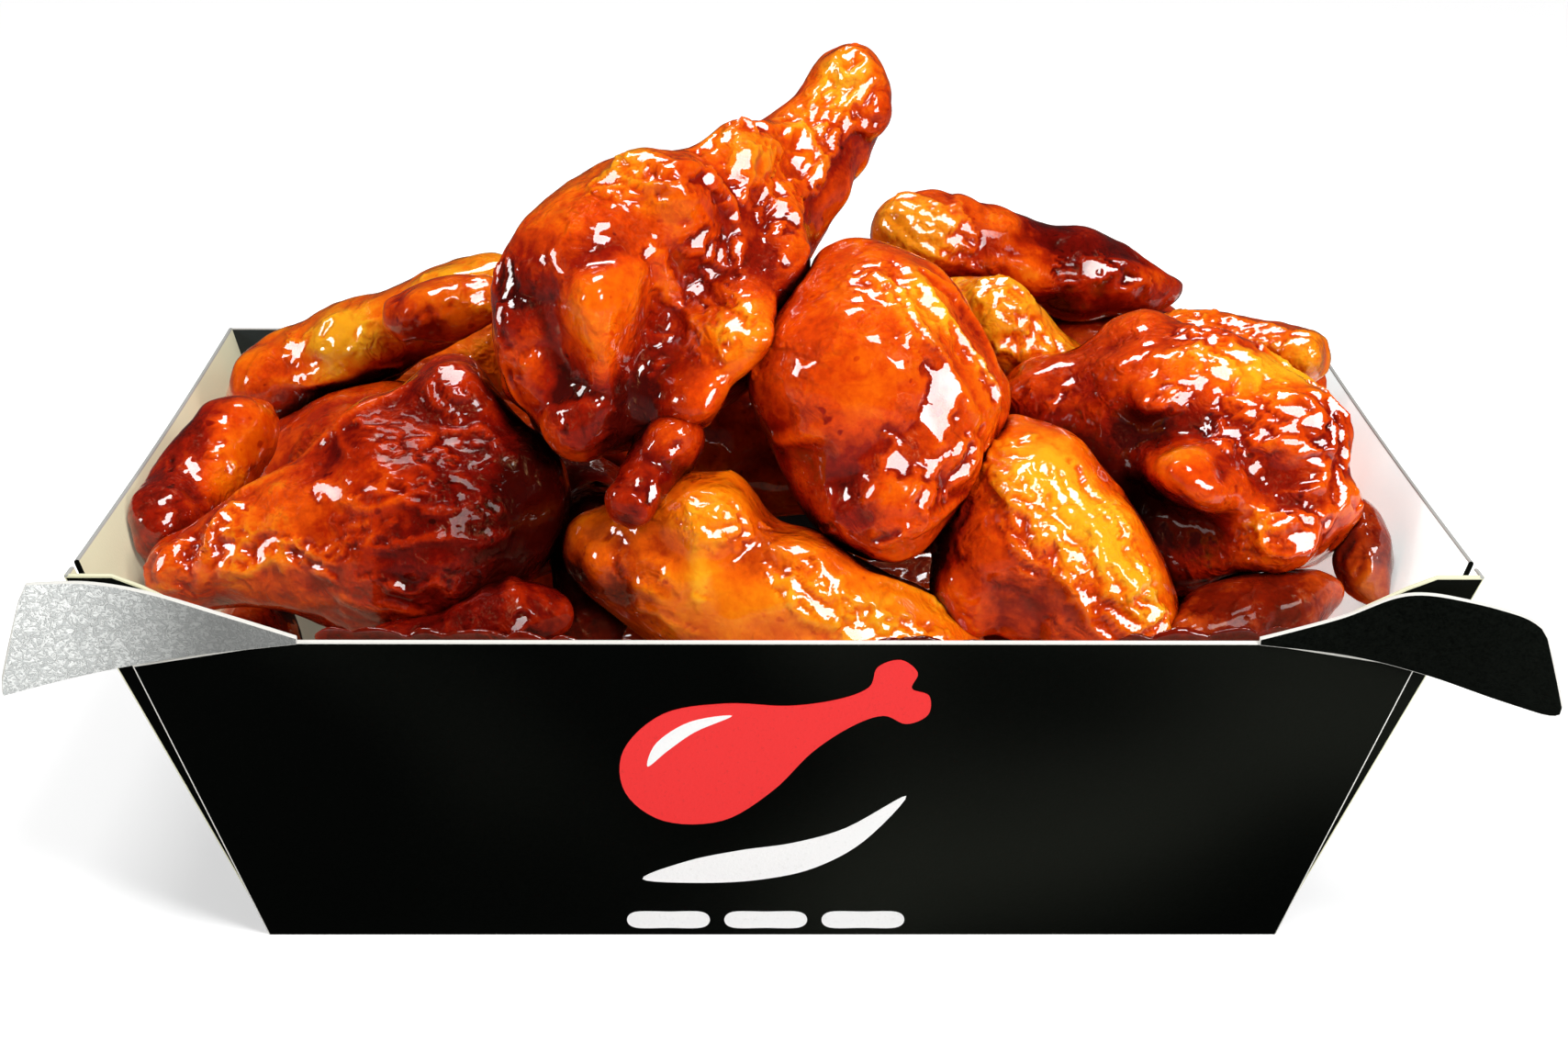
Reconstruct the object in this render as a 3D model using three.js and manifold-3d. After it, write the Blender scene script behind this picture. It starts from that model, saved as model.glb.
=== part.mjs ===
// A folded paperboard tray heaped with glazed chicken wings.
//
// The tray is one blank of card: a flat base, four walls that lean outwards, a front
// and a back panel glued over the corner flaps, and a front lip whose two ends flare
// out past the sides as ears. Every wing is a solid of its own: a fleshy body swept
// from one end of its bone to the other, with rounder lobes of meat and folded skin
// joined to it, cut back where it rests on a neighbour or on the card.
//
// Millimetres, +Z up, +X to the right and +Y away from the front panel. The origin is
// the middle of the underside of the base.

import * as THREE from "three";
import { mergeVertices } from "three/addons/utils/BufferGeometryUtils.js";
import Module from "manifold-3d";

const wasm = await Module();
wasm.setup();

// ---- driving dimensions -----------------------------------------------------------

const CARD = 0.8; // thickness of the board

const TRAY = {
  baseHalfX: 77,
  baseHalfY: 51.2,
  rimHalfX: 100,
  rimHalfY: 69.2,
  rimHeight: 64,
};

const FRONT_PANEL = {
  bottomHalf: 77, // half width along the base
  topHalf: 92, // half width where its top edge meets its side edges
  topMiddle: 53.5, // height of the top edge between the ears
  topEnd: 49.5, // height of the top edge at its two ends
  levelHalf: 69, // half width of the level stretch of the top edge
};

const LIP_SINK = 0.7; // depth of the folded lip's outer face inside the back wall

const BACK_PANEL = { bottomHalf: 76.5, topHalf: 97, lipDepth: 18 };

// Each ear is a strip between a lower and an upper edge, from the front lip to its tip.
const EARS = [
  {
    side: -1,
    lower: [[-68, -67.2, 53], [-82, -66.8, 51.2], [-92, -67, 49.6], [-101, -69, 48.2], [-109.5, -72, 46.8]],
    upper: [[-68, -67.5, 54], [-79, -69.5, 58.5], [-88, -71, 62], [-96, -72.5, 64], [-104.5, -74, 64.4]],
  },
  {
    side: 1,
    lower: [[69, -67.2, 53], [82, -66.8, 51.2], [93, -67, 48.4], [103, -69, 45.4], [112.3, -72, 43.2]],
    upper: [[69, -67.5, 54], [80, -68.5, 57.6], [89, -70, 61.6], [98, -72, 61.2], [107.5, -74, 59]],
  },
];

const NOTCH = { width: 3, depth: 2.2, fromCorner: 5 }; // small nick in each side rim

const GAP = 0.45; // clearance kept round every wing
const FILL_HEIGHT = 150; // how far up the leaning walls bound the heap

// ---- small helpers ------------------------------------------------------------------

const vec = (point) => new THREE.Vector3(...point);

function solidOf(geometry) {
  const bare = geometry.clone();
  for (const name of Object.keys(bare.attributes)) {
    if (name !== "position") bare.deleteAttribute(name);
  }
  const joined = mergeVertices(bare, 1e-4);
  return new wasm.Manifold(new wasm.Mesh({
    numProp: 3,
    vertProperties: new Float32Array(joined.attributes.position.array),
    triVerts: new Uint32Array(joined.index.array),
  }));
}

function geometryOf(solid) {
  const mesh = solid.getMesh();
  const geometry = new THREE.BufferGeometry();
  geometry.setAttribute("position", new THREE.BufferAttribute(new Float32Array(mesh.vertProperties), 3));
  geometry.setIndex(new THREE.BufferAttribute(new Uint32Array(mesh.triVerts), 1));
  geometry.computeVertexNormals();
  return geometry;
}

function joinAll(solids) {
  return solids.reduce((whole, solid) => whole.add(solid));
}

function largestBody(solid) {
  const bodies = solid.decompose();
  return bodies.reduce((best, body) => (body.volume() > best.volume() ? body : best));
}

function smoothstep(low, high, value) {
  const t = THREE.MathUtils.clamp((value - low) / (high - low), 0, 1);
  return t * t * (3 - 2 * t);
}

const bell = (offset, spread) => Math.exp(-((offset / spread) ** 2));

// ---- the tray -------------------------------------------------------------------------

// A box whose section grows evenly from the base plane up to the top height.
function leaningBox(lowZ, highZ, inset) {
  const geometry = new THREE.BoxGeometry(2, 2, 1);
  const position = geometry.attributes.position;
  for (let i = 0; i < position.count; i += 1) {
    const z = position.getZ(i) < 0 ? lowZ : highZ;
    const rise = z / TRAY.rimHeight;
    const halfX = THREE.MathUtils.lerp(TRAY.baseHalfX, TRAY.rimHalfX, rise) - inset;
    const halfY = THREE.MathUtils.lerp(TRAY.baseHalfY, TRAY.rimHalfY, rise) - inset;
    position.setXYZ(i, position.getX(i) * halfX, position.getY(i) * halfY, z);
  }
  return solidOf(geometry);
}

// A flat card panel whose outline is drawn as (x, height) on a wall that leans in Y. Its
// outer face stands proud of the wall's own outer plane.
function wallPanel(outline, side, proud) {
  const lean = (TRAY.rimHalfY - TRAY.baseHalfY) / TRAY.rimHeight;
  const slant = Math.hypot(1, lean);
  const shape = new THREE.Shape(outline.map(([x, z]) => new THREE.Vector2(x, z * slant)));
  const geometry = new THREE.ExtrudeGeometry(shape, { depth: CARD, bevelEnabled: false });
  const along = new THREE.Vector3(1, 0, 0);
  const up = new THREE.Vector3(0, side * lean, 1).normalize();
  const through = new THREE.Vector3().crossVectors(along, up);
  geometry.applyMatrix4(new THREE.Matrix4().makeBasis(along, up, through));
  const reach = side < 0 ? proud - CARD : -proud;
  const start = new THREE.Vector3(0, side * TRAY.baseHalfY, 0).addScaledVector(through, reach);
  geometry.translate(start.x, start.y, start.z);
  return solidOf(geometry);
}

function frontPanel() {
  const f = FRONT_PANEL;
  return wallPanel([
    [-f.bottomHalf, 0],
    [f.bottomHalf, 0],
    [f.topHalf, f.topEnd],
    [f.levelHalf, f.topMiddle],
    [-f.levelHalf, f.topMiddle],
    [-f.topHalf, f.topEnd],
  ], -1, CARD);
}

function backPanel() {
  const b = BACK_PANEL;
  return wallPanel([
    [-b.bottomHalf, 0],
    [b.bottomHalf, 0],
    [b.topHalf, TRAY.rimHeight],
    [-b.topHalf, TRAY.rimHeight],
  ], 1, CARD);
}

// The strip folded down inside the back wall.
function backLip() {
  const low = TRAY.rimHeight - BACK_PANEL.lipDepth;
  const half = BACK_PANEL.topHalf - 6;
  return wallPanel([
    [-half + 4, low],
    [half - 4, low],
    [half, TRAY.rimHeight],
    [-half, TRAY.rimHeight],
  ], 1, -LIP_SINK);
}

// The front wall's inner layer stops a little below the front panel's top edge.
function frontCutAway() {
  const f = FRONT_PANEL;
  const shape = new THREE.Shape([
    new THREE.Vector2(-TRAY.rimHalfX + 4, TRAY.rimHeight + 2),
    new THREE.Vector2(-f.levelHalf, f.topMiddle - 3),
    new THREE.Vector2(f.levelHalf, f.topMiddle - 3),
    new THREE.Vector2(TRAY.rimHalfX - 4, TRAY.rimHeight + 2),
  ]);
  const geometry = new THREE.ExtrudeGeometry(shape, { depth: 30, bevelEnabled: false });
  geometry.rotateX(Math.PI / 2);
  geometry.translate(0, -TRAY.baseHalfY, 0);
  return solidOf(geometry);
}

function ear({ side, lower, upper }) {
  const rows = lower.length;
  const inward = new THREE.Vector3(0, 1, 0.28).normalize().multiplyScalar(CARD);
  const corners = [];
  for (let i = 0; i < rows; i += 1) {
    const low = vec(lower[i]);
    const high = vec(upper[i]);
    corners.push(low, high, high.clone().add(inward), low.clone().add(inward));
  }
  const faces = [];
  const quad = (a, b, c, d) => faces.push(a, b, c, a, c, d);
  for (let i = 0; i < rows - 1; i += 1) {
    for (let k = 0; k < 4; k += 1) {
      const next = (k + 1) % 4;
      quad(4 * i + k, 4 * (i + 1) + k, 4 * (i + 1) + next, 4 * i + next);
    }
  }
  const last = 4 * (rows - 1);
  quad(0, 1, 2, 3);
  quad(last + 3, last + 2, last + 1, last);
  if (side < 0) faces.reverse();
  const geometry = new THREE.BufferGeometry().setFromPoints(corners);
  geometry.setIndex(faces);
  return solidOf(geometry);
}

function rimNotch(side) {
  const geometry = new THREE.BoxGeometry(20, NOTCH.width, NOTCH.depth * 2);
  geometry.translate(side * TRAY.rimHalfX, -TRAY.rimHalfY + NOTCH.fromCorner, TRAY.rimHeight);
  return solidOf(geometry);
}

function traySolid() {
  const shell = leaningBox(0, TRAY.rimHeight, 0).subtract(leaningBox(CARD, TRAY.rimHeight + 10, CARD));
  let tray = shell.subtract(frontCutAway());
  for (const side of [-1, 1]) tray = tray.subtract(rimNotch(side));
  return joinAll([tray, frontPanel(), backPanel(), backLip(), ...EARS.map(ear)]);
}

// ---- the wings ------------------------------------------------------------------------

// How thick a body is along its length, from 0 at its first end to 1 at its last.
const FORMS = {
  // a fat round end of meat, a slim shank and the knuckle at its tip
  drumette: (t) => 1.08 - 0.66 * smoothstep(0.36, 0.82, t) + 0.42 * bell(t - 0.965, 0.05),
  // a long even body with two fuller ends
  flat: (t) => 0.9 + 0.14 * bell(t - 0.2, 0.2) + 0.1 * bell(t - 0.85, 0.16),
  // a round body that narrows towards its last end
  thigh: (t) => 1.1 - 0.3 * smoothstep(0.35, 1, t),
  // a slim tapering tip
  tip: (t) => 1.1 - 0.45 * smoothstep(0.25, 1, t),
};

const BLEND = 8; // how sharply a lobe stands out of its body: higher is sharper
const LOBE_FADE = 0.3; // how early a lobe dies away towards its rim
const SPINE_END = 0.12; // the share of the length, at each end, that grows from one point

// Broad uneven swelling of a body, different for every seed.
function swelling(seed, t, angle) {
  const first = Math.sin(2 * angle + 5.1 * seed) * Math.sin(7.3 * t + 2.3 * seed);
  const second = Math.sin(3 * angle - 3.7 * seed + 4 * t) * Math.cos(11.9 * t + seed);
  return 1 + 0.06 * first + 0.04 * second;
}

// The distance at which a ray from inside a body leaves a lobe, or 0 if it misses it. It
// fades towards the lobe's rim, so that the lobe has no step where it meets its body.
function reachOfLobe(origin, direction, { centre, radius }) {
  const toCentre = centre.clone().sub(origin);
  const along = toCentre.dot(direction);
  const missSquared = toCentre.lengthSq() - along * along;
  if (missSquared >= radius * radius) return 0;
  const halfChord = Math.sqrt(radius * radius - missSquared);
  return Math.max(0, along + halfChord) * (halfChord / radius) ** LOBE_FADE;
}

// A closed body along +X, with its lobes of meat blended into it.
function bodyGeometry(wing, grow = 0) {
  const geometry = new THREE.SphereGeometry(1, wing.sides, wing.rings);
  const length = vec(wing.from).distanceTo(vec(wing.to));
  const toLocal = wingPlacement(wing).invert();
  const lobes = (wing.lobes ?? []).map(([x, y, z, radius]) => (
    { centre: new THREE.Vector3(x, y, z).applyMatrix4(toLocal), radius }
  ));
  const position = geometry.attributes.position;
  for (let i = 0; i < position.count; i += 1) {
    const height = position.getY(i);
    const t = (1 - height) / 2;
    const radial = Math.sqrt(Math.max(0, 1 - height * height));
    const angle = radial > 1e-6 ? Math.atan2(position.getZ(i), position.getX(i)) : 0;
    const girth = radial * FORMS[wing.form](t) * swelling(wing.seed, t, angle);
    const skin = new THREE.Vector3(
      t * length,
      Math.cos(angle) * girth * wing.width / 2,
      Math.sin(angle) * girth * wing.thickness / 2,
    );
    const origin = new THREE.Vector3(THREE.MathUtils.clamp(t, SPINE_END, 1 - SPINE_END) * length, 0, 0);
    const outward = skin.clone().sub(origin);
    const reach = outward.length();
    outward.normalize();
    const power = lobes.reduce(
      (sum, lobe) => sum + reachOfLobe(origin, outward, lobe) ** BLEND,
      reach ** BLEND,
    );
    const point = origin.addScaledVector(outward, power ** (1 / BLEND) + grow);
    position.setXYZ(i, point.x, point.y, point.z);
  }
  return geometry;
}

// The turn that lays a body's length from one end to the other, broad side to the front.
function wingPlacement(wing) {
  const start = vec(wing.from);
  const along = vec(wing.to).sub(start).normalize();
  const across = new THREE.Vector3(0, 1, 0).cross(along).normalize();
  const deep = new THREE.Vector3().crossVectors(along, across);
  const turn = new THREE.Matrix4().makeBasis(along, across, deep);
  const roll = new THREE.Matrix4().makeRotationX(THREE.MathUtils.degToRad(wing.roll ?? 0));
  return turn.multiply(roll).setPosition(start);
}

function wingSolid(wing, grow) {
  return solidOf(bodyGeometry(wing, grow).applyMatrix4(wingPlacement(wing)));
}

const SKIN = {
  amber: { color: 0xd9791c, roughness: 0.3 },
  orange: { color: 0xc4500f, roughness: 0.28 },
  red: { color: 0x8e2108, roughness: 0.25 },
  dark: { color: 0x4f1006, roughness: 0.25 },
};

// Each wing in the order in which it keeps its shape: the ones further down the list
// are cut back where an earlier one presses into them. A lobe is a centre and a radius.
const WINGS = [
  {
    name: "top_drumette", form: "drumette", skin: "orange", seed: 1, sides: 16, rings: 15,
    from: [-35, -32, 73], to: [15, 5, 124], width: 35, thickness: 34,
    lobes: [
      [-33, -32, 97, 10.5], [-37, -36, 87, 8], [-28, -42, 80, 9], [-13, -42, 82, 9],
      [-25, -44, 95, 9], [-19, -27, 110, 10], [-6, -20, 113, 8], [-11, -40, 107, 7],
      [-1, -26, 98, 9], [5, -8, 105, 7], [-6, -38, 90, 8.5], [12, 4, 122, 5], [14, 2, 118, 5],
      [-28, -31, 105, 9.5], [11, -1, 110.5, 4.5],
    ],
  },
  {
    name: "centre_thigh", form: "thigh", skin: "orange", seed: 2, sides: 14, rings: 13,
    from: [14, -22, 99], to: [16.5, -48, 59], width: 34, thickness: 34,
    lobes: [[25, -34, 80, 10.5], [7, -36, 85, 10.5], [16.5, -49, 67, 8], [11.5, -26, 94, 9]],
  },
  {
    name: "right_cluster", form: "thigh", skin: "orange", seed: 3, sides: 16, rings: 13,
    from: [46, -14, 78], to: [89, -30, 56], width: 30, thickness: 30,
    lobes: [
      [57, -14, 80, 9], [69, -22, 77, 10], [79, -28, 72, 10], [82, -34, 64, 8],
      [74, -40, 61, 8], [62, -42, 70, 8.5], [53, -20, 75, 8],
      [43, -16, 73, 10], [48, -21, 65, 10], [55, -27, 58, 10], [64, -32, 55, 9],
    ],
  },
  {
    name: "left_drumette", form: "drumette", skin: "red", seed: 4, sides: 16, rings: 13,
    from: [-33, -34, 64], to: [-92, -46, 55], width: 34, thickness: 36,
    lobes: [
      [-48, -31, 78, 10], [-58, -36, 73, 9], [-69, -43, 64, 9], [-40, -38, 67, 10],
      [-52, -45, 60, 11], [-81, -46, 60, 6.5], [-88, -46, 56, 5], [-77, -43, 65, 5.5],
    ],
  },
  {
    name: "front_left_flat", form: "flat", skin: "amber", seed: 5, sides: 12, rings: 12,
    from: [-27.5, -42, 60], to: [34, -50, 38], width: 26, thickness: 29,
    lobes: [[-10, -47, 64, 10], [-24, -44, 59, 8], [7, -51, 55, 10]],
  },
  {
    name: "front_right_flat", form: "flat", skin: "amber", seed: 6, sides: 12, rings: 12,
    from: [29, -31, 76], to: [59, -49, 36], width: 26, thickness: 28,
    lobes: [[39, -38, 68, 9], [49, -45, 58, 9], [32, -41, 58, 10]],
  },
  {
    name: "crest_flat", form: "flat", skin: "red", seed: 7, sides: 12, rings: 12,
    from: [17, 16, 94], to: [70, 26, 82], width: 14, thickness: 20,
    lobes: [[24, 15, 95, 7.5], [35, 17, 93.5, 7], [51, 21, 86, 8]],
  },
  {
    name: "back_left_flat", form: "flat", skin: "orange", seed: 8, sides: 12, rings: 12,
    from: [-92, 28, 60], to: [-42, 14, 89], width: 14, thickness: 20,
    lobes: [[-83, 24, 65, 10], [-71, 20, 73, 9]],
  },
  {
    name: "back_left_tip", form: "tip", skin: "orange", seed: 9, sides: 10, rings: 9,
    from: [-64, 4, 82], to: [-38, 4, 87], width: 10, thickness: 13,
    lobes: [[-57, 0, 84, 5]],
  },
  {
    name: "right_low_tip", form: "tip", skin: "dark", seed: 10, sides: 10, rings: 9,
    from: [86, -40, 52], to: [48, -55, 46], width: 11, thickness: 13,
    lobes: [[77, -44, 50, 5]],
  },
  {
    name: "right_end_tip", form: "tip", skin: "dark", seed: 11, sides: 10, rings: 9,
    from: [87, -24, 63], to: [93, -40, 48], width: 10, thickness: 12,
    lobes: [[92, -34, 55, 4]],
  },
  {
    name: "front_low_tip", form: "tip", skin: "red", seed: 12, sides: 10, rings: 9,
    from: [-29, -51, 53], to: [-62, -59, 49], width: 10, thickness: 13,
    lobes: [[-36, -52, 53, 4.5]],
  },
  {
    name: "left_end_flat", form: "flat", skin: "red", seed: 13, sides: 12, rings: 10,
    from: [-97, -38, 56], to: [-80, -6, 71], width: 13, thickness: 15,
    lobes: [[-89.5, -23, 63, 7], [-85, -15, 68, 7.5], [-93, -34, 59, 7]],
  },
  {
    name: "right_deep_flat", form: "flat", skin: "orange", seed: 14, sides: 10, rings: 9,
    from: [42, -14, 80], to: [74, -36, 43], width: 20, thickness: 20,
    lobes: [[50, -26, 71, 8.5]],
  },
  {
    name: "hanging_tip", form: "tip", skin: "dark", seed: 15, sides: 8, rings: 7,
    from: [-13, -38, 79], to: [-21, -53, 68], width: 9, thickness: 9,
    lobes: [[-15, -42, 77, 5], [-19.5, -49, 71.5, 4.5], [-21.5, -53, 69, 4]],
  },
  {
    name: "centre_back_flat", form: "flat", skin: "orange", seed: 16, sides: 12, rings: 10,
    from: [26, 4, 88], to: [58, -6, 66], width: 15, thickness: 20,
    lobes: [[36, -4, 86, 7.5]],
  },
  {
    name: "right_back_flat", form: "flat", skin: "orange", seed: 17, sides: 12, rings: 10,
    from: [57, 8, 78], to: [91, 2, 77], width: 12, thickness: 18,
    lobes: [[85, -4, 79, 5.5]],
  },
  {
    name: "centre_low_flat", form: "flat", skin: "dark", seed: 18, sides: 10, rings: 9,
    from: [-27, -26, 65], to: [-28, -44, 42], width: 15, thickness: 16,
  },
  {
    name: "rear_top_drumette", form: "drumette", skin: "orange", seed: 19, sides: 12, rings: 12,
    from: [-46, 26, 82], to: [24, 36, 76], width: 32, thickness: 32,
    lobes: [[-30, 32, 86, 10], [-16, 26, 84, 9]],
  },
  {
    name: "rear_right_drumette", form: "drumette", skin: "red", seed: 20, sides: 12, rings: 12,
    from: [28, 40, 70], to: [95, 24, 66], width: 28, thickness: 32,
    lobes: [[44, 40, 72, 11], [60, 32, 70, 9]],
  },
  {
    name: "rear_left_flat", form: "flat", skin: "amber", seed: 21, sides: 12, rings: 11,
    from: [-93, 44, 54], to: [-36, 52, 62], width: 24, thickness: 28,
    lobes: [[-78, 46, 57, 10], [-52, 50, 65, 9]],
  },
  {
    name: "rear_middle_thigh", form: "thigh", skin: "orange", seed: 22, sides: 12, rings: 11,
    from: [-38, 51, 60], to: [32, 54, 62], width: 28, thickness: 28,
    lobes: [[-20, 54, 64, 10], [8, 54, 66, 10]],
  },
  {
    name: "rear_end_flat", form: "flat", skin: "red", seed: 23, sides: 12, rings: 11,
    from: [32, 55, 54], to: [92, 48, 52], width: 26, thickness: 26,
    lobes: [[46, 56, 58, 9], [74, 52, 57, 9]],
  },
  {
    name: "middle_left_thigh", form: "thigh", skin: "red", seed: 24, sides: 10, rings: 10,
    from: [-90, 10, 48], to: [-32, 2, 60], width: 32, thickness: 38,
  },
  {
    name: "middle_flat", form: "flat", skin: "orange", seed: 25, sides: 10, rings: 10,
    from: [-34, 4, 64], to: [32, 8, 62], width: 32, thickness: 34,
  },
  {
    name: "middle_right_thigh", form: "thigh", skin: "orange", seed: 26, sides: 10, rings: 9,
    from: [92, 6, 52], to: [30, 16, 60], width: 34, thickness: 36,
  },
  {
    name: "middle_front_flat", form: "flat", skin: "red", seed: 35, sides: 10, rings: 9,
    from: [-80, -20, 48], to: [-22, -10, 58], width: 26, thickness: 26,
  },
  {
    name: "centre_gap_flat", form: "flat", skin: "red", seed: 36, sides: 10, rings: 9,
    from: [4, -16, 62], to: [44, -12, 56], width: 22, thickness: 20,
  },
  {
    name: "low_left_thigh", form: "thigh", skin: "red", seed: 33, sides: 9, rings: 8,
    from: [-86, -38, 24], to: [-88, 16, 30], width: 22, thickness: 26,
  },
  {
    name: "low_right_thigh", form: "thigh", skin: "red", seed: 34, sides: 9, rings: 8,
    from: [88, -44, 27], to: [87, 12, 28], width: 24, thickness: 26,
  },
  {
    name: "low_front_left_drumette", form: "drumette", skin: "red", seed: 27, sides: 10, rings: 10,
    from: [-76, -30, 24], to: [-4, -34, 18], width: 32, thickness: 32,
  },
  {
    name: "low_front_right_drumette", form: "drumette", skin: "red", seed: 28, sides: 10, rings: 10,
    from: [76, -30, 24], to: [4, -24, 16], width: 32, thickness: 34,
  },
  {
    name: "low_back_left_flat", form: "flat", skin: "orange", seed: 29, sides: 9, rings: 8,
    from: [-76, 30, 24], to: [-4, 34, 22], width: 36, thickness: 36,
  },
  {
    name: "low_back_right_flat", form: "flat", skin: "orange", seed: 30, sides: 9, rings: 8,
    from: [76, 30, 24], to: [0, 28, 22], width: 36, thickness: 38,
  },
  {
    name: "low_middle_left_flat", form: "flat", skin: "red", seed: 31, sides: 9, rings: 8,
    from: [-74, 0, 18], to: [-4, 4, 24], width: 32, thickness: 28,
  },
  {
    name: "low_middle_right_flat", form: "flat", skin: "red", seed: 32, sides: 9, rings: 8,
    from: [74, 2, 18], to: [6, 4, 24], width: 32, thickness: 26,
  },
];

function overlaps(first, second) {
  const a = first.boundingBox();
  const b = second.boundingBox();
  return [0, 1, 2].every((axis) => a.min[axis] < b.max[axis] && b.min[axis] < a.max[axis]);
}

// The room for food: inside the walls and the folded lip, open upwards.
function roomInside() {
  const room = leaningBox(CARD + GAP, FILL_HEIGHT, CARD + GAP);
  const behindLip = backLip().translate([0, -GAP, -GAP]);
  return room.subtract(behindLip);
}

function buildWings() {
  const room = roomInside();
  const cutters = [];
  const meshes = [];
  for (const wing of WINGS) {
    let solid = wingSolid(wing, 0).intersect(room);
    for (const cutter of cutters) {
      if (overlaps(solid, cutter)) solid = solid.subtract(cutter);
    }
    cutters.push(wingSolid(wing, GAP));
    meshes.push(wingMesh(wing, largestBody(solid)));
  }
  return meshes;
}

function wingMesh(wing, solid) {
  const placement = wingPlacement(wing);
  const geometry = geometryOf(solid);
  geometry.applyMatrix4(placement.clone().invert());
  const material = new THREE.MeshStandardMaterial({ ...SKIN[wing.skin], metalness: 0 });
  const mesh = new THREE.Mesh(geometry, material);
  mesh.name = wing.name;
  placement.decompose(mesh.position, mesh.quaternion, mesh.scale);
  return mesh;
}

function trayMesh() {
  const material = new THREE.MeshStandardMaterial({ color: 0x0b0b0c, roughness: 0.45, metalness: 0 });
  const mesh = new THREE.Mesh(geometryOf(traySolid()), material);
  mesh.name = "tray";
  return mesh;
}

const heap = new THREE.Group();
heap.add(...buildWings());

const part = new THREE.Group();
part.add(trayMesh(), heap);

export default part;
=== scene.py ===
"""Glazed chicken wings heaped in a black paperboard tray with two flared ears.

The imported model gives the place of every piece. The tray is rebuilt as folded board
sheets, every wing is sculpted from its own node, and sauce, print and studio are added.
Everything is in metres, +Z up, with the middle of the tray's underside at the origin.
"""

import logging
import math
import random
from contextlib import contextmanager
from dataclasses import dataclass, field
from enum import Enum
from typing import Callable, Iterable, Iterator, Optional, Sequence

import bpy
import numpy as np
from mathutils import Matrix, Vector, noise
from mathutils.bvhtree import BVHTree


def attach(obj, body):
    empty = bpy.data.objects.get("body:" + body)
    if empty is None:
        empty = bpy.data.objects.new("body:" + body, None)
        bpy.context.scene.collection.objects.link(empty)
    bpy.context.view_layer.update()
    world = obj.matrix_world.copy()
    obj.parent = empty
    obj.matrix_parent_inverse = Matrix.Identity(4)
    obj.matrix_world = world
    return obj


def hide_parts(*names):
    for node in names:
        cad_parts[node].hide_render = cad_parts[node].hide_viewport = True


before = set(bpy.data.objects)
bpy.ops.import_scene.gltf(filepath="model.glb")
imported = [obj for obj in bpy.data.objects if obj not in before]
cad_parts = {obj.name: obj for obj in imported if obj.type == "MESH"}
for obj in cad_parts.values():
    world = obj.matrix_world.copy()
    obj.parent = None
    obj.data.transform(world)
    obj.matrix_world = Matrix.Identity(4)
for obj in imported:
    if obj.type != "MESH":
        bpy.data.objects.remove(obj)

LOG = logging.getLogger("wings")
MM = 0.001
BODY = "root"
Point = tuple[float, float, float]
Array = np.ndarray
Piece = bpy.types.Object
Socket = bpy.types.NodeSocket
Sockets = bpy.types.bpy_prop_collection


# ---- working with pieces ----


def deselect_all() -> None:
    """Leaves nothing selected."""
    bpy.ops.object.select_all(action="DESELECT")


def activate(piece: Piece) -> None:
    """Selects one piece alone and makes it the active one.

    Args:
        piece: the piece.
    """
    deselect_all()
    piece.select_set(True)
    bpy.context.view_layer.objects.active = piece


@contextmanager
def edit_mode(piece: Piece) -> Iterator[None]:
    """Opens a piece in edit mode with all of it selected.

    Args:
        piece: the mesh object to edit.

    Yields:
        Nothing, while the piece is open.
    """
    activate(piece)
    bpy.ops.object.mode_set(mode="EDIT")
    bpy.ops.mesh.select_all(action="SELECT")
    yield
    bpy.ops.object.mode_set(mode="OBJECT")


def apply_modifier(piece: Piece, kind: str, **settings: object) -> None:
    """Adds a modifier with its settings and applies it at once.

    Args:
        piece: the mesh object.
        kind: Blender's name for the modifier type.
        settings: values set on the modifier by name.
    """
    modifier = piece.modifiers.new(kind.title(), kind)
    for name, value in settings.items():
        setattr(modifier, name, value)
    activate(piece)
    bpy.ops.object.modifier_apply(modifier=modifier.name)


def name_piece(piece: Piece, name: str) -> Piece:
    """Names a piece and its mesh.

    Args:
        piece: the piece.
        name: the name they both get.

    Returns:
        The same piece.
    """
    piece.name = name
    piece.data.name = name
    return piece


def settle(piece: Piece) -> None:
    """Moves a piece's place, turn and size into its mesh."""
    activate(piece)
    bpy.ops.object.transform_apply(location=True, rotation=True, scale=True)


def join(pieces: Sequence[Piece], name: str) -> Piece:
    """Joins several meshes into the first one.

    Args:
        pieces: two or more mesh objects.
        name: the joined piece's name.

    Returns:
        The joined piece.
    """
    deselect_all()
    for piece in pieces:
        piece.select_set(True)
    bpy.context.view_layer.objects.active = pieces[0]
    bpy.ops.object.join()
    return name_piece(pieces[0], name)


def hand_over(piece: Piece, slot: str, *nodes: str) -> None:
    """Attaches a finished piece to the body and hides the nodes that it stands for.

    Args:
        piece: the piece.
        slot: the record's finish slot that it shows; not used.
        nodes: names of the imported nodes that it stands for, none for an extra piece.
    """
    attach(piece, BODY)
    if nodes:
        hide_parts(*nodes)


def add_object(name: str, data: bpy.types.ID) -> Piece:
    """Adds an object that shows a mesh, a light or a camera.

    Args:
        name: the object's name.
        data: what it shows.

    Returns:
        The object.
    """
    thing = bpy.data.objects.new(name, data)
    bpy.context.scene.collection.objects.link(thing)
    return thing


def copy_of_node(node: str, name: str) -> Piece:
    """Copies a node's solid, with its loose triangles merged.

    Args:
        node: the node's name.
        name: the copy's name.

    Returns:
        A new mesh object at the same place.
    """
    piece = add_object(name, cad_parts[node].data.copy())
    piece.data.materials.clear()
    with edit_mode(piece):
        bpy.ops.mesh.remove_doubles(threshold=1e-6)
    return name_piece(piece, name)


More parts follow.
